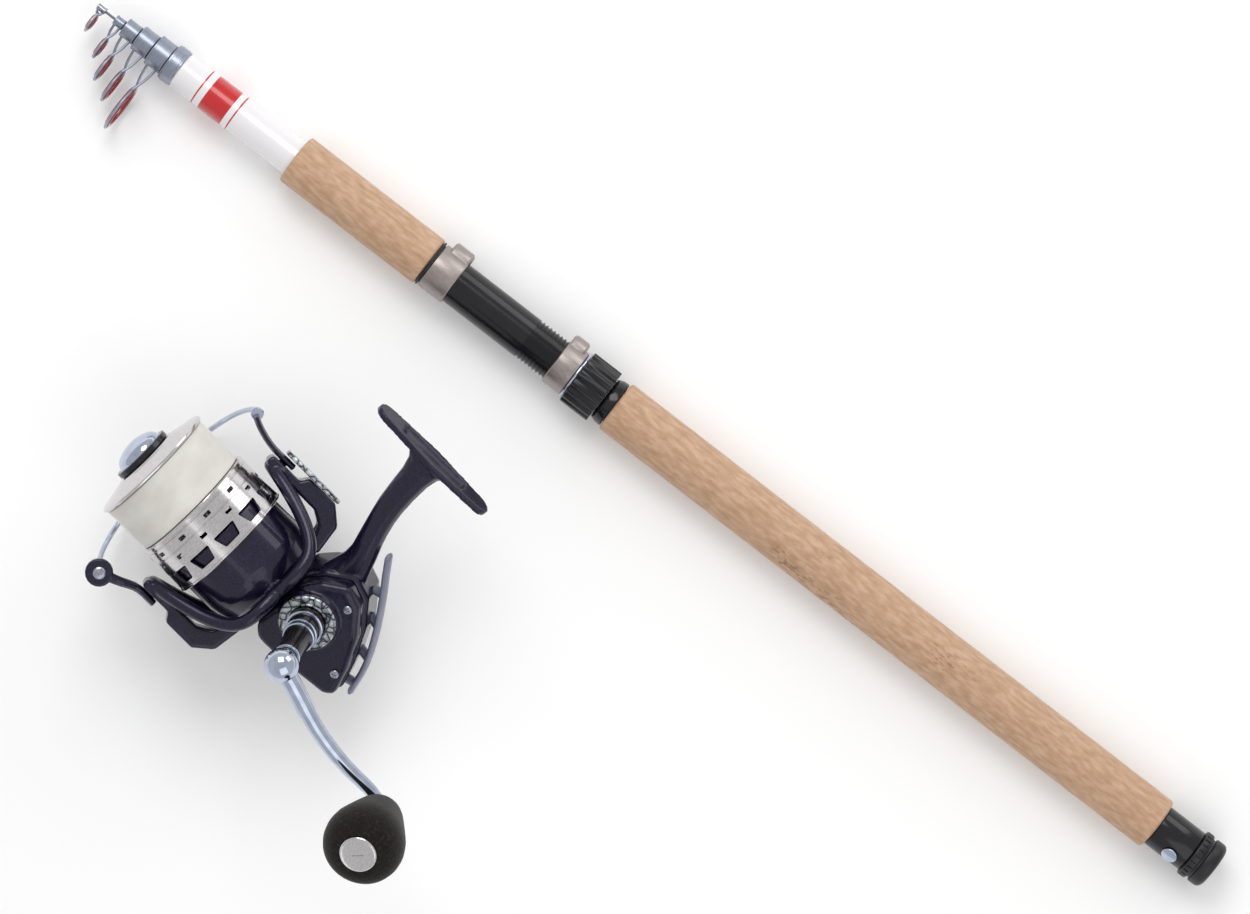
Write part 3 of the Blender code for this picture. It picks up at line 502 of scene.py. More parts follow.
def crackle_trim():
    """Hot-stamped silver film with dark crackle lines under it, as on the trim plates of the reel."""
    made, tree, shader = finish("crackle_trim", IOR=1.5, Coat_Weight=0.5, Coat_Roughness=0.06)
    cells = patterned(tree, 260, kind="ShaderNodeTexVoronoi", feature="DISTANCE_TO_EDGE")
    fine = patterned(tree, 620, kind="ShaderNodeTexVoronoi", feature="DISTANCE_TO_EDGE")
    edge = node(tree, "ShaderNodeMath", [(0, fine.outputs[0]), (1, 0.4)], operation="ADD").outputs[0]
    least = node(tree, "ShaderNodeMath", [(0, cells.outputs[0]), (1, edge)], operation="MULTIPLY").outputs[0]
    tone = ramp(tree, least, [(0.02, "14131A"), (0.05, "8E949C"), (0.2, "D9E2E4")])
    tree.links.new(tone, shader.inputs["Base Color"])
    shine = ramp(tree, least, [(0.02, "000000"), (0.06, "B0B0B0")])
    tree.links.new(shine, shader.inputs["Metallic"])
    worn(tree, shader, 0.18, 0.3)
    bumped(tree, shader, least, 0.08, 0.5)
    return made


def wound_nylon():
    """Clear nylon line wound in layers: a milky off-white body with a soft sheen along the turns."""
    made, tree, shader = finish(
        "wound_nylon", IOR=1.53, Subsurface_Weight=0.15, Subsurface_Scale=0.004, Coat_Weight=0.25,
        Coat_Roughness=0.2,
    )
    layers = patterned(tree, 70, 3.0, (2.2, 1, 1))
    tone = ramp(tree, layers.outputs[0], [(0.3, "D6D4CE"), (0.55, "DEDCD6"), (0.8, "E4E3DE")])
    tree.links.new(tone, shader.inputs["Base Color"])
    worn(tree, shader, 0.28, 0.45, 260)
    bumped(tree, shader, patterned(tree, 1700, 2.0, (3, 0.6, 0.6)).outputs[0], 0.05, 0.5)
    return made


def closed_cell_foam():
    """Ground EVA foam: black-brown and quite matt, with fine open cells and a little dust."""
    made, tree, shader = finish("closed_cell_foam", IOR=1.45, Specular_IOR_Level=0.2, Sheen_Weight=0.15)
    cells = patterned(tree, 1500, kind="ShaderNodeTexVoronoi")
    blacks = [(0.35, "110F0E"), (0.6, "1F1B19"), (0.8, "37312D")]
    tone = ramp(tree, patterned(tree, 700, 6.0).outputs[0], blacks)
    tree.links.new(tone, shader.inputs["Base Color"])
    worn(tree, shader, 0.8, 0.98)
    bumped(tree, shader, cells.outputs[0], 0.18, 0.8)
    return made


def glazed_ring():
    """Guide rings of glazed ceramic: deep red, hard and very smooth."""
    made, tree, shader = finish("glazed_ring", IOR=1.6, Coat_Weight=0.7, Coat_Roughness=0.04)
    tone = ramp(tree, patterned(tree, 500, 3.0).outputs[0], [(0.35, "6E0A12"), (0.7, "A0131E")])
    tree.links.new(tone, shader.inputs["Base Color"])
    worn(tree, shader, 0.14, 0.24)
    return made


def fibre_blank():
    """Clear-coated fibre: grey-blue with the faint weave of the cloth along the tube."""
    made, tree, shader = finish("fibre_blank", IOR=1.5, Coat_Weight=0.8, Coat_Roughness=0.06, Metallic=0.25)
    weave = patterned(tree, 1200, kind="ShaderNodeTexWave", stretch=(1, 1, 1))
    tone = ramp(tree, weave.outputs[0], [(0.2, "4A515C"), (0.8, "6C7683")])
    tree.links.new(tone, shader.inputs["Base Color"])
    worn(tree, shader, 0.25, 0.4)
    return made


MATERIALS = {}


def mat(name):
    """A material by name, made the first time that it is asked for."""
    makers = {
        "cork": natural_cork,
        "lacquer": banded_lacquer,
        "flake": flake_lacquer,
        "crackle": crackle_trim,
        "line": wound_nylon,
        "foam": closed_cell_foam,
        "glaze": glazed_ring,
        "fibre": fibre_blank,
        "nickel": lambda: metal("satin_nickel", "A9A09C", 0.42, 0.3, (0.25, 1, 1), 1500, 0.02, "978E8A"),
        "steel": lambda: metal("turned_steel", "B9B9C4", 0.3, 0.16, (6, 1, 1), 500, 0.01, "8F93A2"),
        "collar": lambda: metal("anodised_collar", "A0A6B4", 0.34, 0.24, (8, 1, 1), 300, 0.003, "8F96A6"),
        "chrome": lambda: metal("chrome_plate", "C4CCDC", 0.13, 0.05, (1, 1, 1), 200, 0.004, "AEB8CC"),
        "aluminium": lambda: metal("polished_aluminium", "DAD7D8", 0.24, 0.1, (5, 1, 1), 600, 0.01, "C2BFC0"),
        "brass": lambda: metal("machined_brass", "B9954F", 0.4, 0.25, (1, 1, 1), 900, 0.01, "9C7A3A"),
        "black": lambda: moulded("moulded_nylon", "131115", "1E1B20", 0.34, 0.5),
        "gloss black": lambda: moulded("gloss_abs", "0D0C10", "17151B", 0.12, 0.22, 900, 0.01),
        "grey": lambda: moulded("painted_grey", "6E7185", "83869A", 0.28, 0.42, 1100, 0.015),
    }
    if name not in MATERIALS:
        MATERIALS[name] = makers[name]()
    return MATERIALS[name]


# ---- Rod ----

# Sections from butt to tip: tip radius, butt radius and wall. Sizes here are in millimetres.
SECTION_RADII = ((6.7, 7.25, 0.6), (5.3, 5.8, 0.55), (3.7, 4.4, 0.5), (1.6, 2.9, 0.5))
# Guides from butt to tip: how far the hoop stands off its collar, and the collar's length.
GUIDE_LEGS = (10.3, 9.0, 8.1, 5.9, 1.0)
GUIDE_WIDTHS = (8.3, 8.2, 7.2, 4.9, 4.6)
WIRE_R = 0.65
BLANK_BORE = 7.6
BLANK_NECK = 8.3
GRIP_BORE = 9.2
THREAD_PITCH = 2.0
THREAD_TURNS = 9
CAP_R = 11.6
BALL_R = 7.7
BALL_Z = 67
ROLLER_X, ROLLER_V = -23.5, -50.0


def build_blank():
    """The lacquered butt blank and its turned collar."""
    start, end = span("butt_blank")
    neck, radius, bore = BLANK_NECK, across("butt_blank"), BLANK_BORE
    profile = [
        (start, bore), (start, neck), (0.3, neck), (0.35, radius - 0.15),
        (0.6, radius), (end, radius), (end, bore),
    ]
    blank = turned_x("painted_blank", profile, ROD, closed=True)
    done(blank, "rod_butt", mat("lacquer"), "white_paint", "butt_blank")
    start, end = span("butt_collar")
    radius = across("butt_collar")
    profile = [
        (start, neck + 0.3), (start, radius - 0.7), (start + 0.4, radius - 0.25), (start + 0.9, radius - 0.2),
        (start + 1.1, radius), (end - 1.3, radius), (end - 1.1, radius - 0.2), (end - 0.4, radius - 0.2),
        (end, radius - 0.5), (end, neck + 0.3),
    ]
    done(turned_x("collar_ring", profile, ROD, closed=True), "rod_butt", mat("collar"), "steel", "butt_collar")


def build_sections():
    """Five telescoping sections, each a hollow tapered tube but for the solid tip."""
    for number, (tip_r, butt_r, wall) in enumerate(SECTION_RADII, 1):
        start, end = span("section_%d" % number)
        profile = [
            (start, tip_r - wall), (start + 0.1, tip_r - 0.1), (start + 0.3, tip_r), (end - 0.5, butt_r),
            (end, butt_r - 0.2), (end, butt_r - wall),
        ]
        tube = turned_x("blank_%d" % number, profile, ROD, 48, closed=True)
        done(tube, "rod_section_%d" % number, mat("fibre"), "carbon", "section_%d" % number)
    start, end = span("tip_section")
    tip = turned_x("tip_blank", [(start, 0.35), (start + 0.3, 0.6), (end, 0.8)], ROD, 24)
    done(tip, "rod_tip", mat("fibre"), "carbon", "tip_section")


def build_guides():
    """On each section a collar, two legs and a hoop of wire, with a glazed ring set in the hoop."""
    for number, name in enumerate(("1", "2", "3", "4", "tip")):
        start, end = span("guide_ring_" + name)
        station = (start + end) / 2
        low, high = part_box("guide_ring_" + name)
        outer = (high.z - low.z) / 2 / MM * 1.02
        hoop_r = outer + 0.3 + WIRE_R
        reach = ((low.y + high.y) / 2 - ROD.translation.y) / MM
        bore = SECTION_RADII[number][0] + 0.35 if number < 4 else 0.9
        collar = -reach - hoop_r - GUIDE_LEGS[number]
        width = GUIDE_WIDTHS[number]
        first, last = station - width / 2, station + width / 2
        rim = min(0.35, (collar - bore) * 0.4)
        profile = [
            (first, bore), (first, collar - rim), (first + 0.25, collar), (first + 0.8, collar),
            (first + 0.9, collar - 0.6 * rim), (last - 0.9, collar - 0.6 * rim), (last - 0.8, collar),
            (last - 0.25, collar), (last, collar - rim), (last, bore),
        ]
        pieces = [turned_x("guide_collar_" + name, profile, ROD, 48, closed=True)]
        circle = [2 * math.pi * k / 48 for k in range(48)]
        hoop = [(station, reach + hoop_r * math.cos(t), hoop_r * math.sin(t)) for t in circle]
        pieces.append(wire("hoop", hoop, WIRE_R, ROD, cyclic=True))
        for side in (-1, 1):
            spread = math.radians(38)
            foot = Vector((station + side * width * 0.3, -(collar + bore) / 2 * 0.96, side * collar * 0.28))
            top = Vector((station, reach + hoop_r * math.cos(spread), side * hoop_r * math.sin(spread)))
            bend = (foot + top) / 2 + Vector((side * 0.5, 0, side * 0.3))
            pieces.append(wire("leg", spline([foot, bend, top], 10), WIRE_R * 0.92, ROD))
        body = "rod_tip" if name == "tip" else "rod_section_" + name
        guide = joined(pieces, "guide_frame_" + name)
        done(guide, body, mat("collar" if number < 4 else "steel"), "steel", "guide_" + name)
        profile = [
            (-0.9, outer), (-1.2, outer - 0.3), (-1.2, outer - 0.8), (-0.8, outer - 1.35), (0, outer - 1.5),
            (0.8, outer - 1.35), (1.2, outer - 0.8), (1.2, outer - 0.3), (0.9, outer),
        ]
        seat = ROD @ Matrix.Translation(Vector((station, reach, 0)) * MM)
        ring = turned_x("glazed_ring_" + name, profile, seat, 64, closed=True)
        done(ring, body, mat("glaze"), "red_ring", "guide_ring_" + name)


def build_grips():
    """Fore grip and rear grip of turned cork, with the check and the trim ring that close them."""
    for name, node_name in (("cork_fore", "fore_grip"), ("cork_rear", "rear_grip")):
        start, end = span(node_name)
        radius = across(node_name)
        profile = [(start, GRIP_BORE), (start, radius - 1.3)]
        profile += [(start + 0.3, radius - 0.5), (start + 1.0, radius)]
        steps = max(4, int((end - start) / 12))
        for k in range(1, steps):
            profile.append((start + (end - start) * k / steps, radius - 0.05 * (k % 2)))
        profile += [(end - 1.0, radius), (end - 0.3, radius - 0.5), (end, radius - 1.3), (end, GRIP_BORE)]
        done(turned_x(name, profile, ROD, 72, closed=True), "rod_butt", mat("cork"), "cork", node_name)
    check = crisp("hood_trim_ring", "fore_check_ring")
    done(check, "rod_butt", mat("black"), "black_plastic", "hood_trim_ring")
    start, end = span("rear_check")
    profile = [
        (start, GRIP_BORE), (start, 9.9), (start + 0.4, 10.3),
        (end - 3, 11.2), (end - 0.5, 11.4), (end, 11.0),
        (end, GRIP_BORE),
    ]
    check = turned_x("check_ring", profile, ROD, closed=True)
    done(check, "rod_butt", mat("gloss black"), "black_plastic", "rear_check")


def build_seat():
    """Reel seat: moulded tube with its thread, satin hoods with foot pockets, and the ribbed lock nut."""
    start, end = span("seat_tube")
    radius = across("seat_tube")
    thread = span("sliding_hood")[0] - (THREAD_TURNS - 1) * THREAD_PITCH
    profile = [(start, GRIP_BORE), (start, radius), (thread, radius)]
    for k in range(THREAD_TURNS):
        at = thread + k * THREAD_PITCH
        profile += [(at + 0.3, radius - 0.6), (at + 1.0, radius - 0.6), (at + 1.3, radius), (at + 2.0, radius)]
    profile += [(end, radius), (end, GRIP_BORE)]
    tube = turned_x("seat_barrel", profile, ROD, 72, closed=True)
    done(tube, "rod_butt", mat("gloss black"), "black_plastic", "seat_tube")

    hoods = (("hood_fixed", "front_hood", "rod_butt"), ("hood_moving", "sliding_hood", "hood"))
    for name, node_name, body in hoods:
        obj = copied(node_name, name)
        modify(obj, "BEVEL", width=0.35 * MM, segments=3, limit_method="ANGLE", angle_limit=math.radians(40))
        smooth(obj, 40)
        done(obj, body, mat("nickel"), "satin_nickel", node_name)
    start, end = span("nut_trim_ring")
    ring = turned_x("nut_ring", ring_profile(10.4, across("nut_trim_ring"), start, end, 0.25), ROD, closed=True)
    done(ring, "hood", mat("chrome"), "chrome", "nut_trim_ring")
    nut = copied("lock_nut", "nut_ribbed")
    modify(nut, "BEVEL", width=0.4 * MM, segments=3, limit_method="ANGLE", angle_limit=math.radians(30))
    smooth(nut, 40)
    done(nut, "nut", mat("gloss black"), "black_plastic", "lock_nut")


def build_butt():
    """Butt sleeve with its round badge, and the ribbed cap."""
    start, end = span("butt_sleeve")
    profile = ring_profile(GRIP_BORE, across("butt_sleeve"), start, end, 0.5)
    sleeve = turned_x("sleeve", profile, ROD, closed=True)
    done(sleeve, "rod_butt", mat("gloss black"), "black_plastic", "butt_sleeve")
    done(crisp("butt_rivet", "badge", 0.15), "rod_butt", mat("chrome"), "chrome", "butt_rivet")
    start, end = span("butt_cap")
    radius = CAP_R
    face = end - 12
    profile = [
        (start, 6.8), (start + 0.5, 7.3), (face, 7.3), (face, radius - 0.9), (face + 0.3, radius - 0.2),
        (face + 0.8, radius), (face + 3.4, radius), (face + 4.0, radius - 0.3), (face + 4.4, radius - 1.4),
        (face + 5.5, radius - 1.4), (face + 5.9, radius - 0.5),
        (face + 6.3, radius - 0.3), (end - 2.2, radius - 0.3),
        (end - 1.2, radius - 0.7), (end - 0.3, radius - 1.8), (end, radius - 2.6),
        (end, 6.0), (end - 0.5, 5.6),
    ]
    cap = turned_x("cap", profile, ROD, 96)
    raise_ribs(cap, face + 0.8, face + 3.4, radius)
    done(cap, "cap", mat("black"), "black_plastic", "butt_cap")


def raise_ribs(obj, low, high, radius):
    """Presses grooves into every fourth strip of a turned face, so that the rest stand as ribs."""
    axis = ROD.translation
    only(obj)
    bpy.ops.object.mode_set(mode="EDIT")
    bpy.ops.mesh.select_all(action="DESELECT")
    bpy.ops.object.mode_set(mode="OBJECT")
    for face in obj.data.polygons:
        centre = (face.center - axis) / MM
        turn = math.atan2(centre.z, centre.y) / (2 * math.pi) * 96
        around = math.hypot(centre.y, centre.z) > radius - 0.1
        face.select = around and low < centre.x < high and int(turn + 96) % 4 == 0
    bpy.context.tool_settings.mesh_select_mode = (False, False, True)
    bpy.ops.object.mode_set(mode="EDIT")
    bpy.ops.mesh.inset(thickness=0.12 * MM, depth=-0.45 * MM, use_individual=True)
    bpy.ops.object.mode_set(mode="OBJECT")
    smooth(obj)


# ---- Reel ----


def build_body():
    """Die-cast gear housing with stem and foot, its side cover, tail guard, trim ring and screws."""
    for name, node_name in (("casting", "reel_body"), ("cover", "side_cover")):
        body = cast(copied(node_name, name), 0.6, 7)
        done(body, "reel", mat("flake"), "reel_lacquer", node_name)
    guard = [copied("rear_guard", "fin")]
    # Struts in the reel's XY plane, from inside the housing to inside the fin.
    struts = (((13, 31), (19.5, 33)), ((21, 21), (27.5, 19.5)), ((28, 6), (35, 5)), ((31, -11), (39.3, -8.5)))
    for start, end in struts:
        guard.append(wire("strut", [(*start, -5), (*end, -5)], 2.3, REEL))
    done(cast(joined(guard, "tail_guard"), 0.42, 3), "reel", mat("grey"), "grey_trim", "rear_guard")
    ring = [
        (20.3, 8.6), (20.3, 12.6), (20.6, 13.0), (21.2, 13.0), (21.7, 12.6), (21.75, 12.2), (21.45, 11.9),
        (21.45, 9.3), (21.7, 9.1), (21.7, 8.6),
    ]
    done(turned("trim_ring", ring, DRIVE, 96, True), "reel", mat("crackle"), "chrome", "boss_ring")
    for number in (1, 2):
        low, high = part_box("cover_screw_%d" % number)
        centre = REEL.inverted() @ ((low + high) / 2) / MM
        screw = screw_head("body_screw_%d" % number, REEL, centre.x, centre.y, 17.8, 2.0)
        done(screw, "reel", mat("steel"), "steel", "cover_screw_%d" % number)


def screw_head(name, matrix, x, y, z, radius):
    """A pan head with a cross recess, on a placement's Z."""
    profile = [(z, radius), (z + 0.5, radius), (z + 0.85, radius * 0.85), (z + 1.0, radius * 0.5)]
    seat = Matrix.Translation(Vector((x, y, 0)) * MM)
    head = turned(name, profile, seat, 40)
    arm = (radius * 1.25, 0.45, 1.2)
    arms = [block("slot", arm, (x, y, z + 0.95), (0, 0, turn)) for turn in (0.5, 0.5 + math.pi / 2)]
    cut(head, arms)
    fix_place(head, matrix)
    smooth(head)
    return head


def build_handle():
    """Drive shaft collar with its bright rings, ball and arm, and the foam knob with its cap."""
    profile = [
        (22.2, 6.0), (22.2, 8.2), (22.5, 8.4), (26, 8.4), (26.6, 8.0),
        (27.0, 7.6), (33, 7.3), (33.7, 6.8), (42, 6.2),
        (50, 5.7), (57, 5.2), (58.2, 4.9), (58.8, 4.4),
    ]
    done(turned("shaft_sleeve", profile, DRIVE), "crank", mat("gloss black"), "black_plastic", "handle_collar")
    for number, (z, radius) in enumerate(((26.9, 8.5), (33.9, 7.6), (37.0, 7.2), (57.6, 5.9))):
        profile = ring_profile(radius - 1.6, radius, z - 0.5, z + 0.5, 0.25)
        ring = turned("bright_ring_%d" % number, profile, DRIVE, 64, True)
        done(ring, "crank", mat("chrome"), "chrome")
    along = Vector((78, -18, 0))
    across_arm = Vector((0, 0, 1)).cross(along).normalized()
    stations = (
        (0.0, 0, BALL_Z), (0.12, -0.6, 66.8), (0.42, -3.0, 66.0),
        (0.66, -2.2, 64.6), (0.86, 0.2, 62.2), (1.0, 1.0, 62),
    )
    path = spline([along * t + across_arm * d + Vector((0, 0, z)) for t, d, z in stations], 60)
    widths = [(4.3 - 0.45 * k / 60) if k < 20 else (3.75 - 1.0 * (k - 20) / 40) for k in range(61)]
    ball = []
    for k in range(25):
        angle = math.pi * k / 24
        ball.append((BALL_Z - BALL_R * math.cos(angle), max(0.02, BALL_R * math.sin(angle))))
    eye = [(59.0, 3.4), (59.4, 4.0), (60.2, 4.2), (64.2, 4.2), (65.0, 4.0), (65.4, 3.4)]
    pieces = [
        wire("crank", path, widths, DRIVE, 10), turned("ball", ball, DRIVE, 64), turned("eye", eye, KNOB, 48),
    ]
    arm = joined(pieces, "crank_arm")
    done(arm, "crank", mat("chrome"), "chrome", "handle_arm")
    low = 65.8
    length, radius = 41.0, 18.0
    pear = (
        (0.0, 0.42), (0.015, 0.5), (0.05, 0.57), (0.12, 0.635),
        (0.22, 0.705), (0.36, 0.8), (0.5, 0.89), (0.62, 0.965),
        (0.72, 0.998), (0.8, 0.99), (0.87, 0.95), (0.93, 0.87), (0.97, 0.77), (0.993, 0.66), (1.0, 0.55),
    )
    stations = [(low + t * length, r * radius) for t, r in pear]
    knob = turned("foam_knob", stations, KNOB, 96)
    done(knob, "knob", mat("foam"), "foam", "handle_knob")
    top = low + length
    cap = turned("knob_badge", [
        (top + 0.3, 8.2), (top + 0.9, 8.2), (top + 1.3, 7.9),
        (top + 1.5, 7.4), (top + 1.35, 6.9), (top + 1.35, 3.0),
    ], None, 72)
    slot = block("slot", (5.2, 1.1, 1.6), (0, 0, top + 1.6), (0, 0, 0.9))
    cut(cap, [slot])
    fix_place(cap, KNOB)
    smooth(cap)
    done(cap, "knob", mat("aluminium"), "chrome", "knob_cap")


def loop_points(count):
    """The frame of the rotor: a closed loop that reaches forward at its two arms."""
    found = []
    for k in range(count):
        turn = 2 * math.pi * (k + 0.5) / count
        c, s = math.cos(turn), math.sin(turn)
        x = -17.6 - 39.4 * abs(c) ** 7
        radius = 22.0 + 15.0 * abs(c) ** 0.8
        found.append((x, radius * c, radius * s))
    return found


def build_rotor():
    """Rotor: a cup that runs inside the skirt, with two looped arms, and the trim plate on one of them."""
    cup = [
        (-54, 27.2), (-31, 27.2), (-27, 26.4), (-21, 23.5),
        (-16.5, 17.5), (-14.5, 16), (-14.5, 12.6), (-24, 12.6),
        (-24, 5.3), (-27.7, 5.3), (-27.7, 10), (-32, 23.6), (-54, 25.6),
    ]
    pieces = [turned_x("rotor_shell", cup, ROTOR, 128, closed=True)]
    pieces.append(wire("loop", loop_points(160), 3.15, ROTOR, 8, cyclic=True))
    for side in (-1, 1):
        outline = [
            (-60, 36.5), (-60.6, 38.5), (-59.5, 41), (-43.5, 41),
            (-41, 45), (-25, 45), (-17, 38.3), (-15, 24),
            (-20, 21), (-24, 33), (-30, 36.5),
        ]
        pieces.append(plate("arm", outline, side, -7.3, 7.3))
    shell = joined(pieces, "rotor_frame")
    outwards(shell)
    cast(shell, 0.55, 6)
    done(shell, "rotor_set", mat("flake"), "reel_lacquer", "rotor")

    cover = [
        (-56, -3), (-54.5, -5), (-50, -6.8), (-38, -8), (-28, -6.5), (-24, -3.5), (-23.5, 0), (-24, 3.5),
        (-28, 6.5), (-38, 8), (-50, 6.8), (-54.5, 5), (-56, 3),
    ]
    bpy.ops.mesh.primitive_circle_add(vertices=len(cover), radius=MM, fill_type="NGON")
    obj = bpy.context.active_object
    obj.name = "arm_badge"
    for vertex, (x, w) in zip(obj.data.vertices, cover):
        vertex.co = Vector((x, 45.3, w)) * MM
    modify(obj, "SOLIDIFY", thickness=2.1 * MM, offset=0)
    obj.data.transform(Matrix.Translation((0, 1.05 * MM, 0)))
    outwards(obj)
    modify(obj, "BEVEL", width=0.7 * MM, segments=4, limit_method="ANGLE", angle_limit=math.radians(60))
    fix_place(obj, ROTOR)
    smooth(obj, 50)
    done(obj, "rotor_set", mat("crackle"), "chrome", "lever_cover")


def plate(name, outline, side, low, high):
    """An outline in the rotor's plane of arms, extruded across it."""
    bpy.ops.mesh.primitive_circle_add(vertices=len(outline), radius=MM, fill_type="NGON")
    obj = bpy.context.active_object
    obj.name = name
    for vertex, (x, v) in zip(obj.data.vertices, outline):
        vertex.co = Vector((x, side * v, low)) * MM
    only(obj)
    bpy.ops.object.mode_set(mode="EDIT")
    bpy.ops.mesh.select_all(action="SELECT")
    bpy.ops.mesh.extrude_region_move(TRANSFORM_OT_translate={"value": (0, 0, (high - low) * MM)})
    bpy.ops.object.mode_set(mode="OBJECT")
    outwards(obj)
    modify(obj, "BEVEL", width=1.6 * MM, segments=3, limit_method="ANGLE", angle_limit=math.radians(40))
    fix_place(obj, ROTOR)
    return obj


def build_bail():
    """The bail: arm and lever, the wire between them, and the roller on its screw."""
    for name, node_name in (("bail_arm_left", "bail_arm"), ("bail_lever_right", "bail_lever")):
        done(cast(copied(node_name, name), 0.3, 3), "bail_set", mat("flake"), "reel_lacquer", node_name)
    hinge = ROTOR @ Matrix.Translation(Vector((-54, 0, 0)) * MM)
    reach, side = ROLLER_X, ROLLER_V
    points = [(reach, side, -3.6), (reach, side, -6.5)]
    for k in range(1, 12):
        turn = math.pi * k / 12
        bulge = 7.0 * math.sin(turn)
        points.append((reach + 0.5 - bulge, side * math.cos(turn), -54.0 * math.sin(turn)))
    points.append((reach + 0.5, 50.3, -6.8))
    pieces = [wire("hoop", spline(points, 96), 1.2, hinge, 6)]
    post = hinge @ Matrix.Translation(Vector((reach, side, 0)) * MM)
    pieces.append(turned("cup", [(-5.6, 4.2), (-5.3, 4.6), (-3.9, 4.6), (-3.5, 4.3)], post, 48))
    pad = hinge @ Matrix.Translation(Vector((-23, 48.6, 0)) * MM)
    pieces.append(turned("pad", [(-7.8, 2.4), (-7.3, 2.9), (-4.1, 2.9), (-3.6, 2.5)], pad, 40))
    done(joined(pieces, "bail_hoop"), "bail_set", mat("chrome"), "chrome", "bail_wire")
    groove = [(-2.8, 1.9), (-2.8, 5.0), (-2.5, 5.2), (-2.2, 5.1), (-1.4, 4.3), (0, 4.1), (1.4, 4.3), (2.1, 5.1),
              (2.4, 5.2), (2.7, 5.0), (2.7, 1.9)]
    done(turned("roller", groove, post, 72, True), "roller", mat("chrome"), "chrome", "line_roller")
    done(screw_head("roller_bolt", post, 0, 0, 7.9, 2.8), "bail_set", mat("steel"), "steel", "roller_screw")


def build_spool():
    """Spool of polished aluminium with holes through its skirt, the wound line, and the drag knob."""
    sizes = bpy.context.scene.reel_sizes
    profile = [
        (-84, 2.3), (-84, 13.2), (-98.5, 13.2), (-98.8, 13.5), (-98.8, 15.2),
        (-98.3, 15.8), (-95.4, 29.0), (-95.0, 29.6),
        (-94.4, 29.7), (-93.8, 29.5), (-93.5, 29.0), (-93.5, 15.0), (-70, 15.0),
        (-70, 29.0), (-69.8, 29.6), (-69.3, 29.9),
        (-67.9, 29.9), (-67.7, 29.55), (-67.2, 29.55), (-67.0, 29.9),
        (-62.4, 29.9), (-62.2, 29.6), (-61.8, 29.6),
        (-61.6, 29.9), (-46.2, 29.9), (-46.0, 30.2), (-45.3, 30.2),
        (-45.0, 29.9), (-45.0, 28.5), (-68.2, 28.5),
        (-68.2, 8), (-60, 8), (-60, 2.3),
    ]
    spool = turned_x("spool_body", profile, REEL, 128, closed=True)
    tools = []
    count = sizes.skirt_holes
    for k in range(count):
        turn = 2 * math.pi * k / count
        for kind, x, offset in (("window", -51.5, 0.0), ("slot", -64.6, 0.0), ("slot", -59.0, 0.5)):
            angle = turn + offset * 2 * math.pi / count
            if kind == "window":
                tool = block(kind, (6.6, 10.4, 8), (0, 0, 29), (0, 0, 0), 0.98, 0.7)
                for vertex in tool.data.vertices:
                    vertex.co.y *= 1 - 0.055 * vertex.co.x / MM
            else:
                tool = block(kind, (1.9, 3.6, 8), (0, 0, 29), (0, 0, 0), 1.0, 0.4)
            seat = REEL @ Matrix.Rotation(angle, 4, "X") @ Matrix.Translation((x * MM, 0, 0))
            fix_place(tool, seat)
            tools.append(tool)
    cut(spool, tools)
    smooth(spool, 30)
    done(spool, "spool_set", mat("aluminium"), "aluminium", "spool")

    turns, start, end = 58, -93.2, -70.3
    pack = [(start, 15.3), (start, 28.3)]
    for k in range(turns * 2):
        x = start + 0.2 + (end - start - 0.4) * (k + 0.5) / (turns * 2)
        pack.append((x, 28.55 + (0.09 if k % 2 else -0.09)))
    pack += [(end, 28.3), (end, 15.3)]
    done(turned_x("line_turns", pack, REEL, 96, closed=True), "spool_set", mat("line"), "line", "line_pack")

    rim = [(-99.2, 5.0), (-99.2, 13.7), (-99.5, 14.0), (-101.5, 14.0), (-101.9, 13.7), (-102.0, 12.4)]
    knurl = turned_x("drag_rim", rim, REEL, 96)
    done(knurl, "drag", mat("gloss black"), "chrome", "drag_knob")
    dome = [(-101.9, 11.9), (-102.3, 11.6)]
    for degrees in range(8, 89, 10):
        angle = math.radians(degrees)
        dome.append((-102.3 - 5.7 * math.sin(angle), 11.4 * math.cos(angle)))
    done(turned_x("drag_dome", dome, REEL, 96), "drag", mat("chrome"), "chrome")


def build_inner():
    """What turns and slides inside the reel, in the metals that these pieces are made of."""
    for name, finish_name in (
        ("handle_shaft", "steel"), ("knob_pin", "steel"), ("main_shaft", "steel"), ("drag_washers", "steel"),
        ("rotor_nut", "steel"), ("drive_bearing", "steel"), ("pinion_bearing", "steel"), ("pinion", "brass"),
        ("drive_gear", "brass"),
    ):
        obj = frame["nodes"][name]
        obj.data.materials.clear()
        obj.data.materials.append(mat(finish_name))


# ---- Stage ----


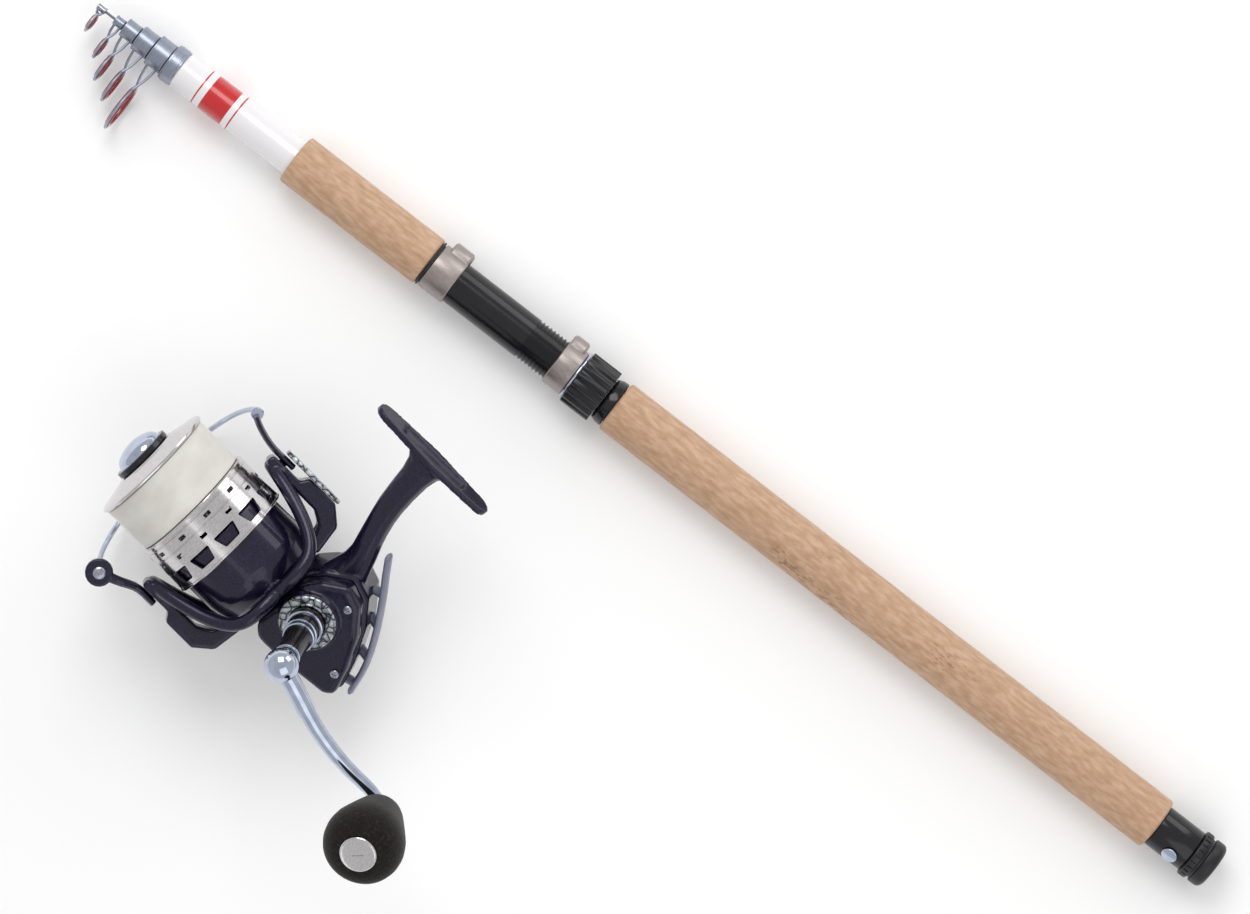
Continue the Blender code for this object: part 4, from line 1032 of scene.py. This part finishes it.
def build_stage():
    """A pale floor, soft light from above, and a long lens that looks straight down on the pair."""
    bpy.ops.mesh.primitive_plane_add(size=8, location=(0, 0, -0.0005))
    floor = bpy.context.active_object
    floor.name = "floor"
    paper, tree, shader = finish("studio_paper", Roughness=0.9)
    tone = ramp(tree, patterned(tree, 3, 2.0).outputs[0], [(0.3, "FBFBFB"), (0.7, "FEFEFE")])
    tree.links.new(tone, shader.inputs["Base Color"])
    floor.data.materials.append(paper)

    world = bpy.data.worlds.new("studio")
    world.use_nodes = True
    sky = world.node_tree.nodes["Background"]
    sky.inputs["Color"].default_value = (1, 1, 1, 1)
    sky.inputs["Strength"].default_value = 0.66
    bpy.context.scene.world = world
    bpy.context.scene.view_settings.view_transform = "Standard"
    centre = Vector((ROD.translation.x + 0.25, ROD.translation.y - 0.03, 0))
    for name, place, size, power in (
        ("key", (-0.9, 0.9, 1.6), 1.2, 16), ("fill", (1.1, -0.7, 1.5), 1.6, 6),
        ("rim", (0.2, 1.6, 0.7), 0.9, 5),
    ):
        bpy.ops.object.light_add(type="AREA", location=centre + Vector(place))
        light = bpy.context.active_object
        light.name = name
        light.data.size = size
        light.data.energy = power
        light.rotation_euler = Vector(place).to_track_quat("Z", "Y").to_euler()
    sizes = bpy.context.scene.stage_sizes
    turn = sizes.turn
    middle = ROD @ (Vector((263.6, -15.5, 0)) * MM)
    data = bpy.data.cameras.new("camera")
    data.sensor_width = 36
    data.lens = 36 * sizes.distance / sizes.field
    camera = bpy.data.objects.new("camera", data)
    bpy.context.scene.collection.objects.link(camera)
    place = Matrix.Translation((middle.x, middle.y, sizes.distance))
    camera.matrix_world = place @ Matrix.Rotation(turn, 4, "Z")
    bpy.context.scene.camera = camera


# ---- Add-on ----


class RodSizes(bpy.types.PropertyGroup):
    """What a user would change on the rod."""

    band_at: FloatProperty(
        name="Band place", description="Middle of the red band from the collar", default=0.0225, unit="LENGTH"
    )
    band_width: FloatProperty(
        name="Band width", description="Width of the red band", default=0.0126, unit="LENGTH"
    )


class ReelSizes(bpy.types.PropertyGroup):
    """What a user would change on the reel."""

    skirt_holes: IntProperty(
        name="Skirt holes", description="Windows round the spool's skirt", default=12, min=4, max=24,
        subtype="UNSIGNED",
    )


class StageSizes(bpy.types.PropertyGroup):
    """Where the camera stands."""

    distance: FloatProperty(name="Distance", description="Height of the camera", default=3.0, unit="LENGTH")
    field: FloatProperty(
        name="Field", description="Width that the frame takes in", default=0.5625, unit="LENGTH"
    )
    turn: FloatProperty(
        name="Turn", description="Turn of the camera", default=math.radians(37.7), unit="ROTATION"
    )


def operator(name, label, words, work):
    """An operator class that runs one build function."""

    def execute(self, context):
        work()
        return {"FINISHED"}

    title = "ROD_OT_" + name
    return type(title, (bpy.types.Operator,), {
        "bl_idname": "rod." + name, "bl_label": label, "__doc__": words, "execute": execute,
    })


STEPS = (
    ("blank", "Butt blank", build_blank),
    ("sections", "Sections", build_sections),
    ("guides", "Guides", build_guides),
    ("grips", "Cork grips", build_grips),
    ("seat", "Reel seat", build_seat),
    ("butt", "Butt", build_butt),
    ("body", "Reel body", build_body),
    ("handle", "Handle", build_handle),
    ("rotor", "Rotor", build_rotor),
    ("bail", "Bail", build_bail),
    ("spool", "Spool", build_spool),
    ("inner", "Inner pieces", build_inner),
    ("stage", "Stage", build_stage),
)
OPERATORS = [operator(name, label, work.__doc__, work) for name, label, work in STEPS]


class ROD_PT_panel(bpy.types.Panel):
    """Lists the pieces in the 3D view's sidebar."""

    bl_label = "Rod and reel"
    bl_space_type = "VIEW_3D"
    bl_region_type = "UI"
    bl_category = "Rod and reel"

    def draw(self, context):
        for name, label, _ in STEPS:
            self.layout.operator("rod." + name, text=label)


CLASSES = (RodSizes, ReelSizes, StageSizes, *OPERATORS, ROD_PT_panel)


def register():
    for made in CLASSES:
        bpy.utils.register_class(made)
    bpy.types.Scene.rod_sizes = PointerProperty(type=RodSizes)
    bpy.types.Scene.reel_sizes = PointerProperty(type=ReelSizes)
    bpy.types.Scene.stage_sizes = PointerProperty(type=StageSizes)


def unregister():
    del bpy.types.Scene.rod_sizes
    del bpy.types.Scene.reel_sizes
    del bpy.types.Scene.stage_sizes
    for made in reversed(CLASSES):
        bpy.utils.unregister_class(made)


def main():
    register()
    for name, _, _ in STEPS:
        getattr(bpy.ops.rod, name)()


if __name__ == "__main__":
    main()
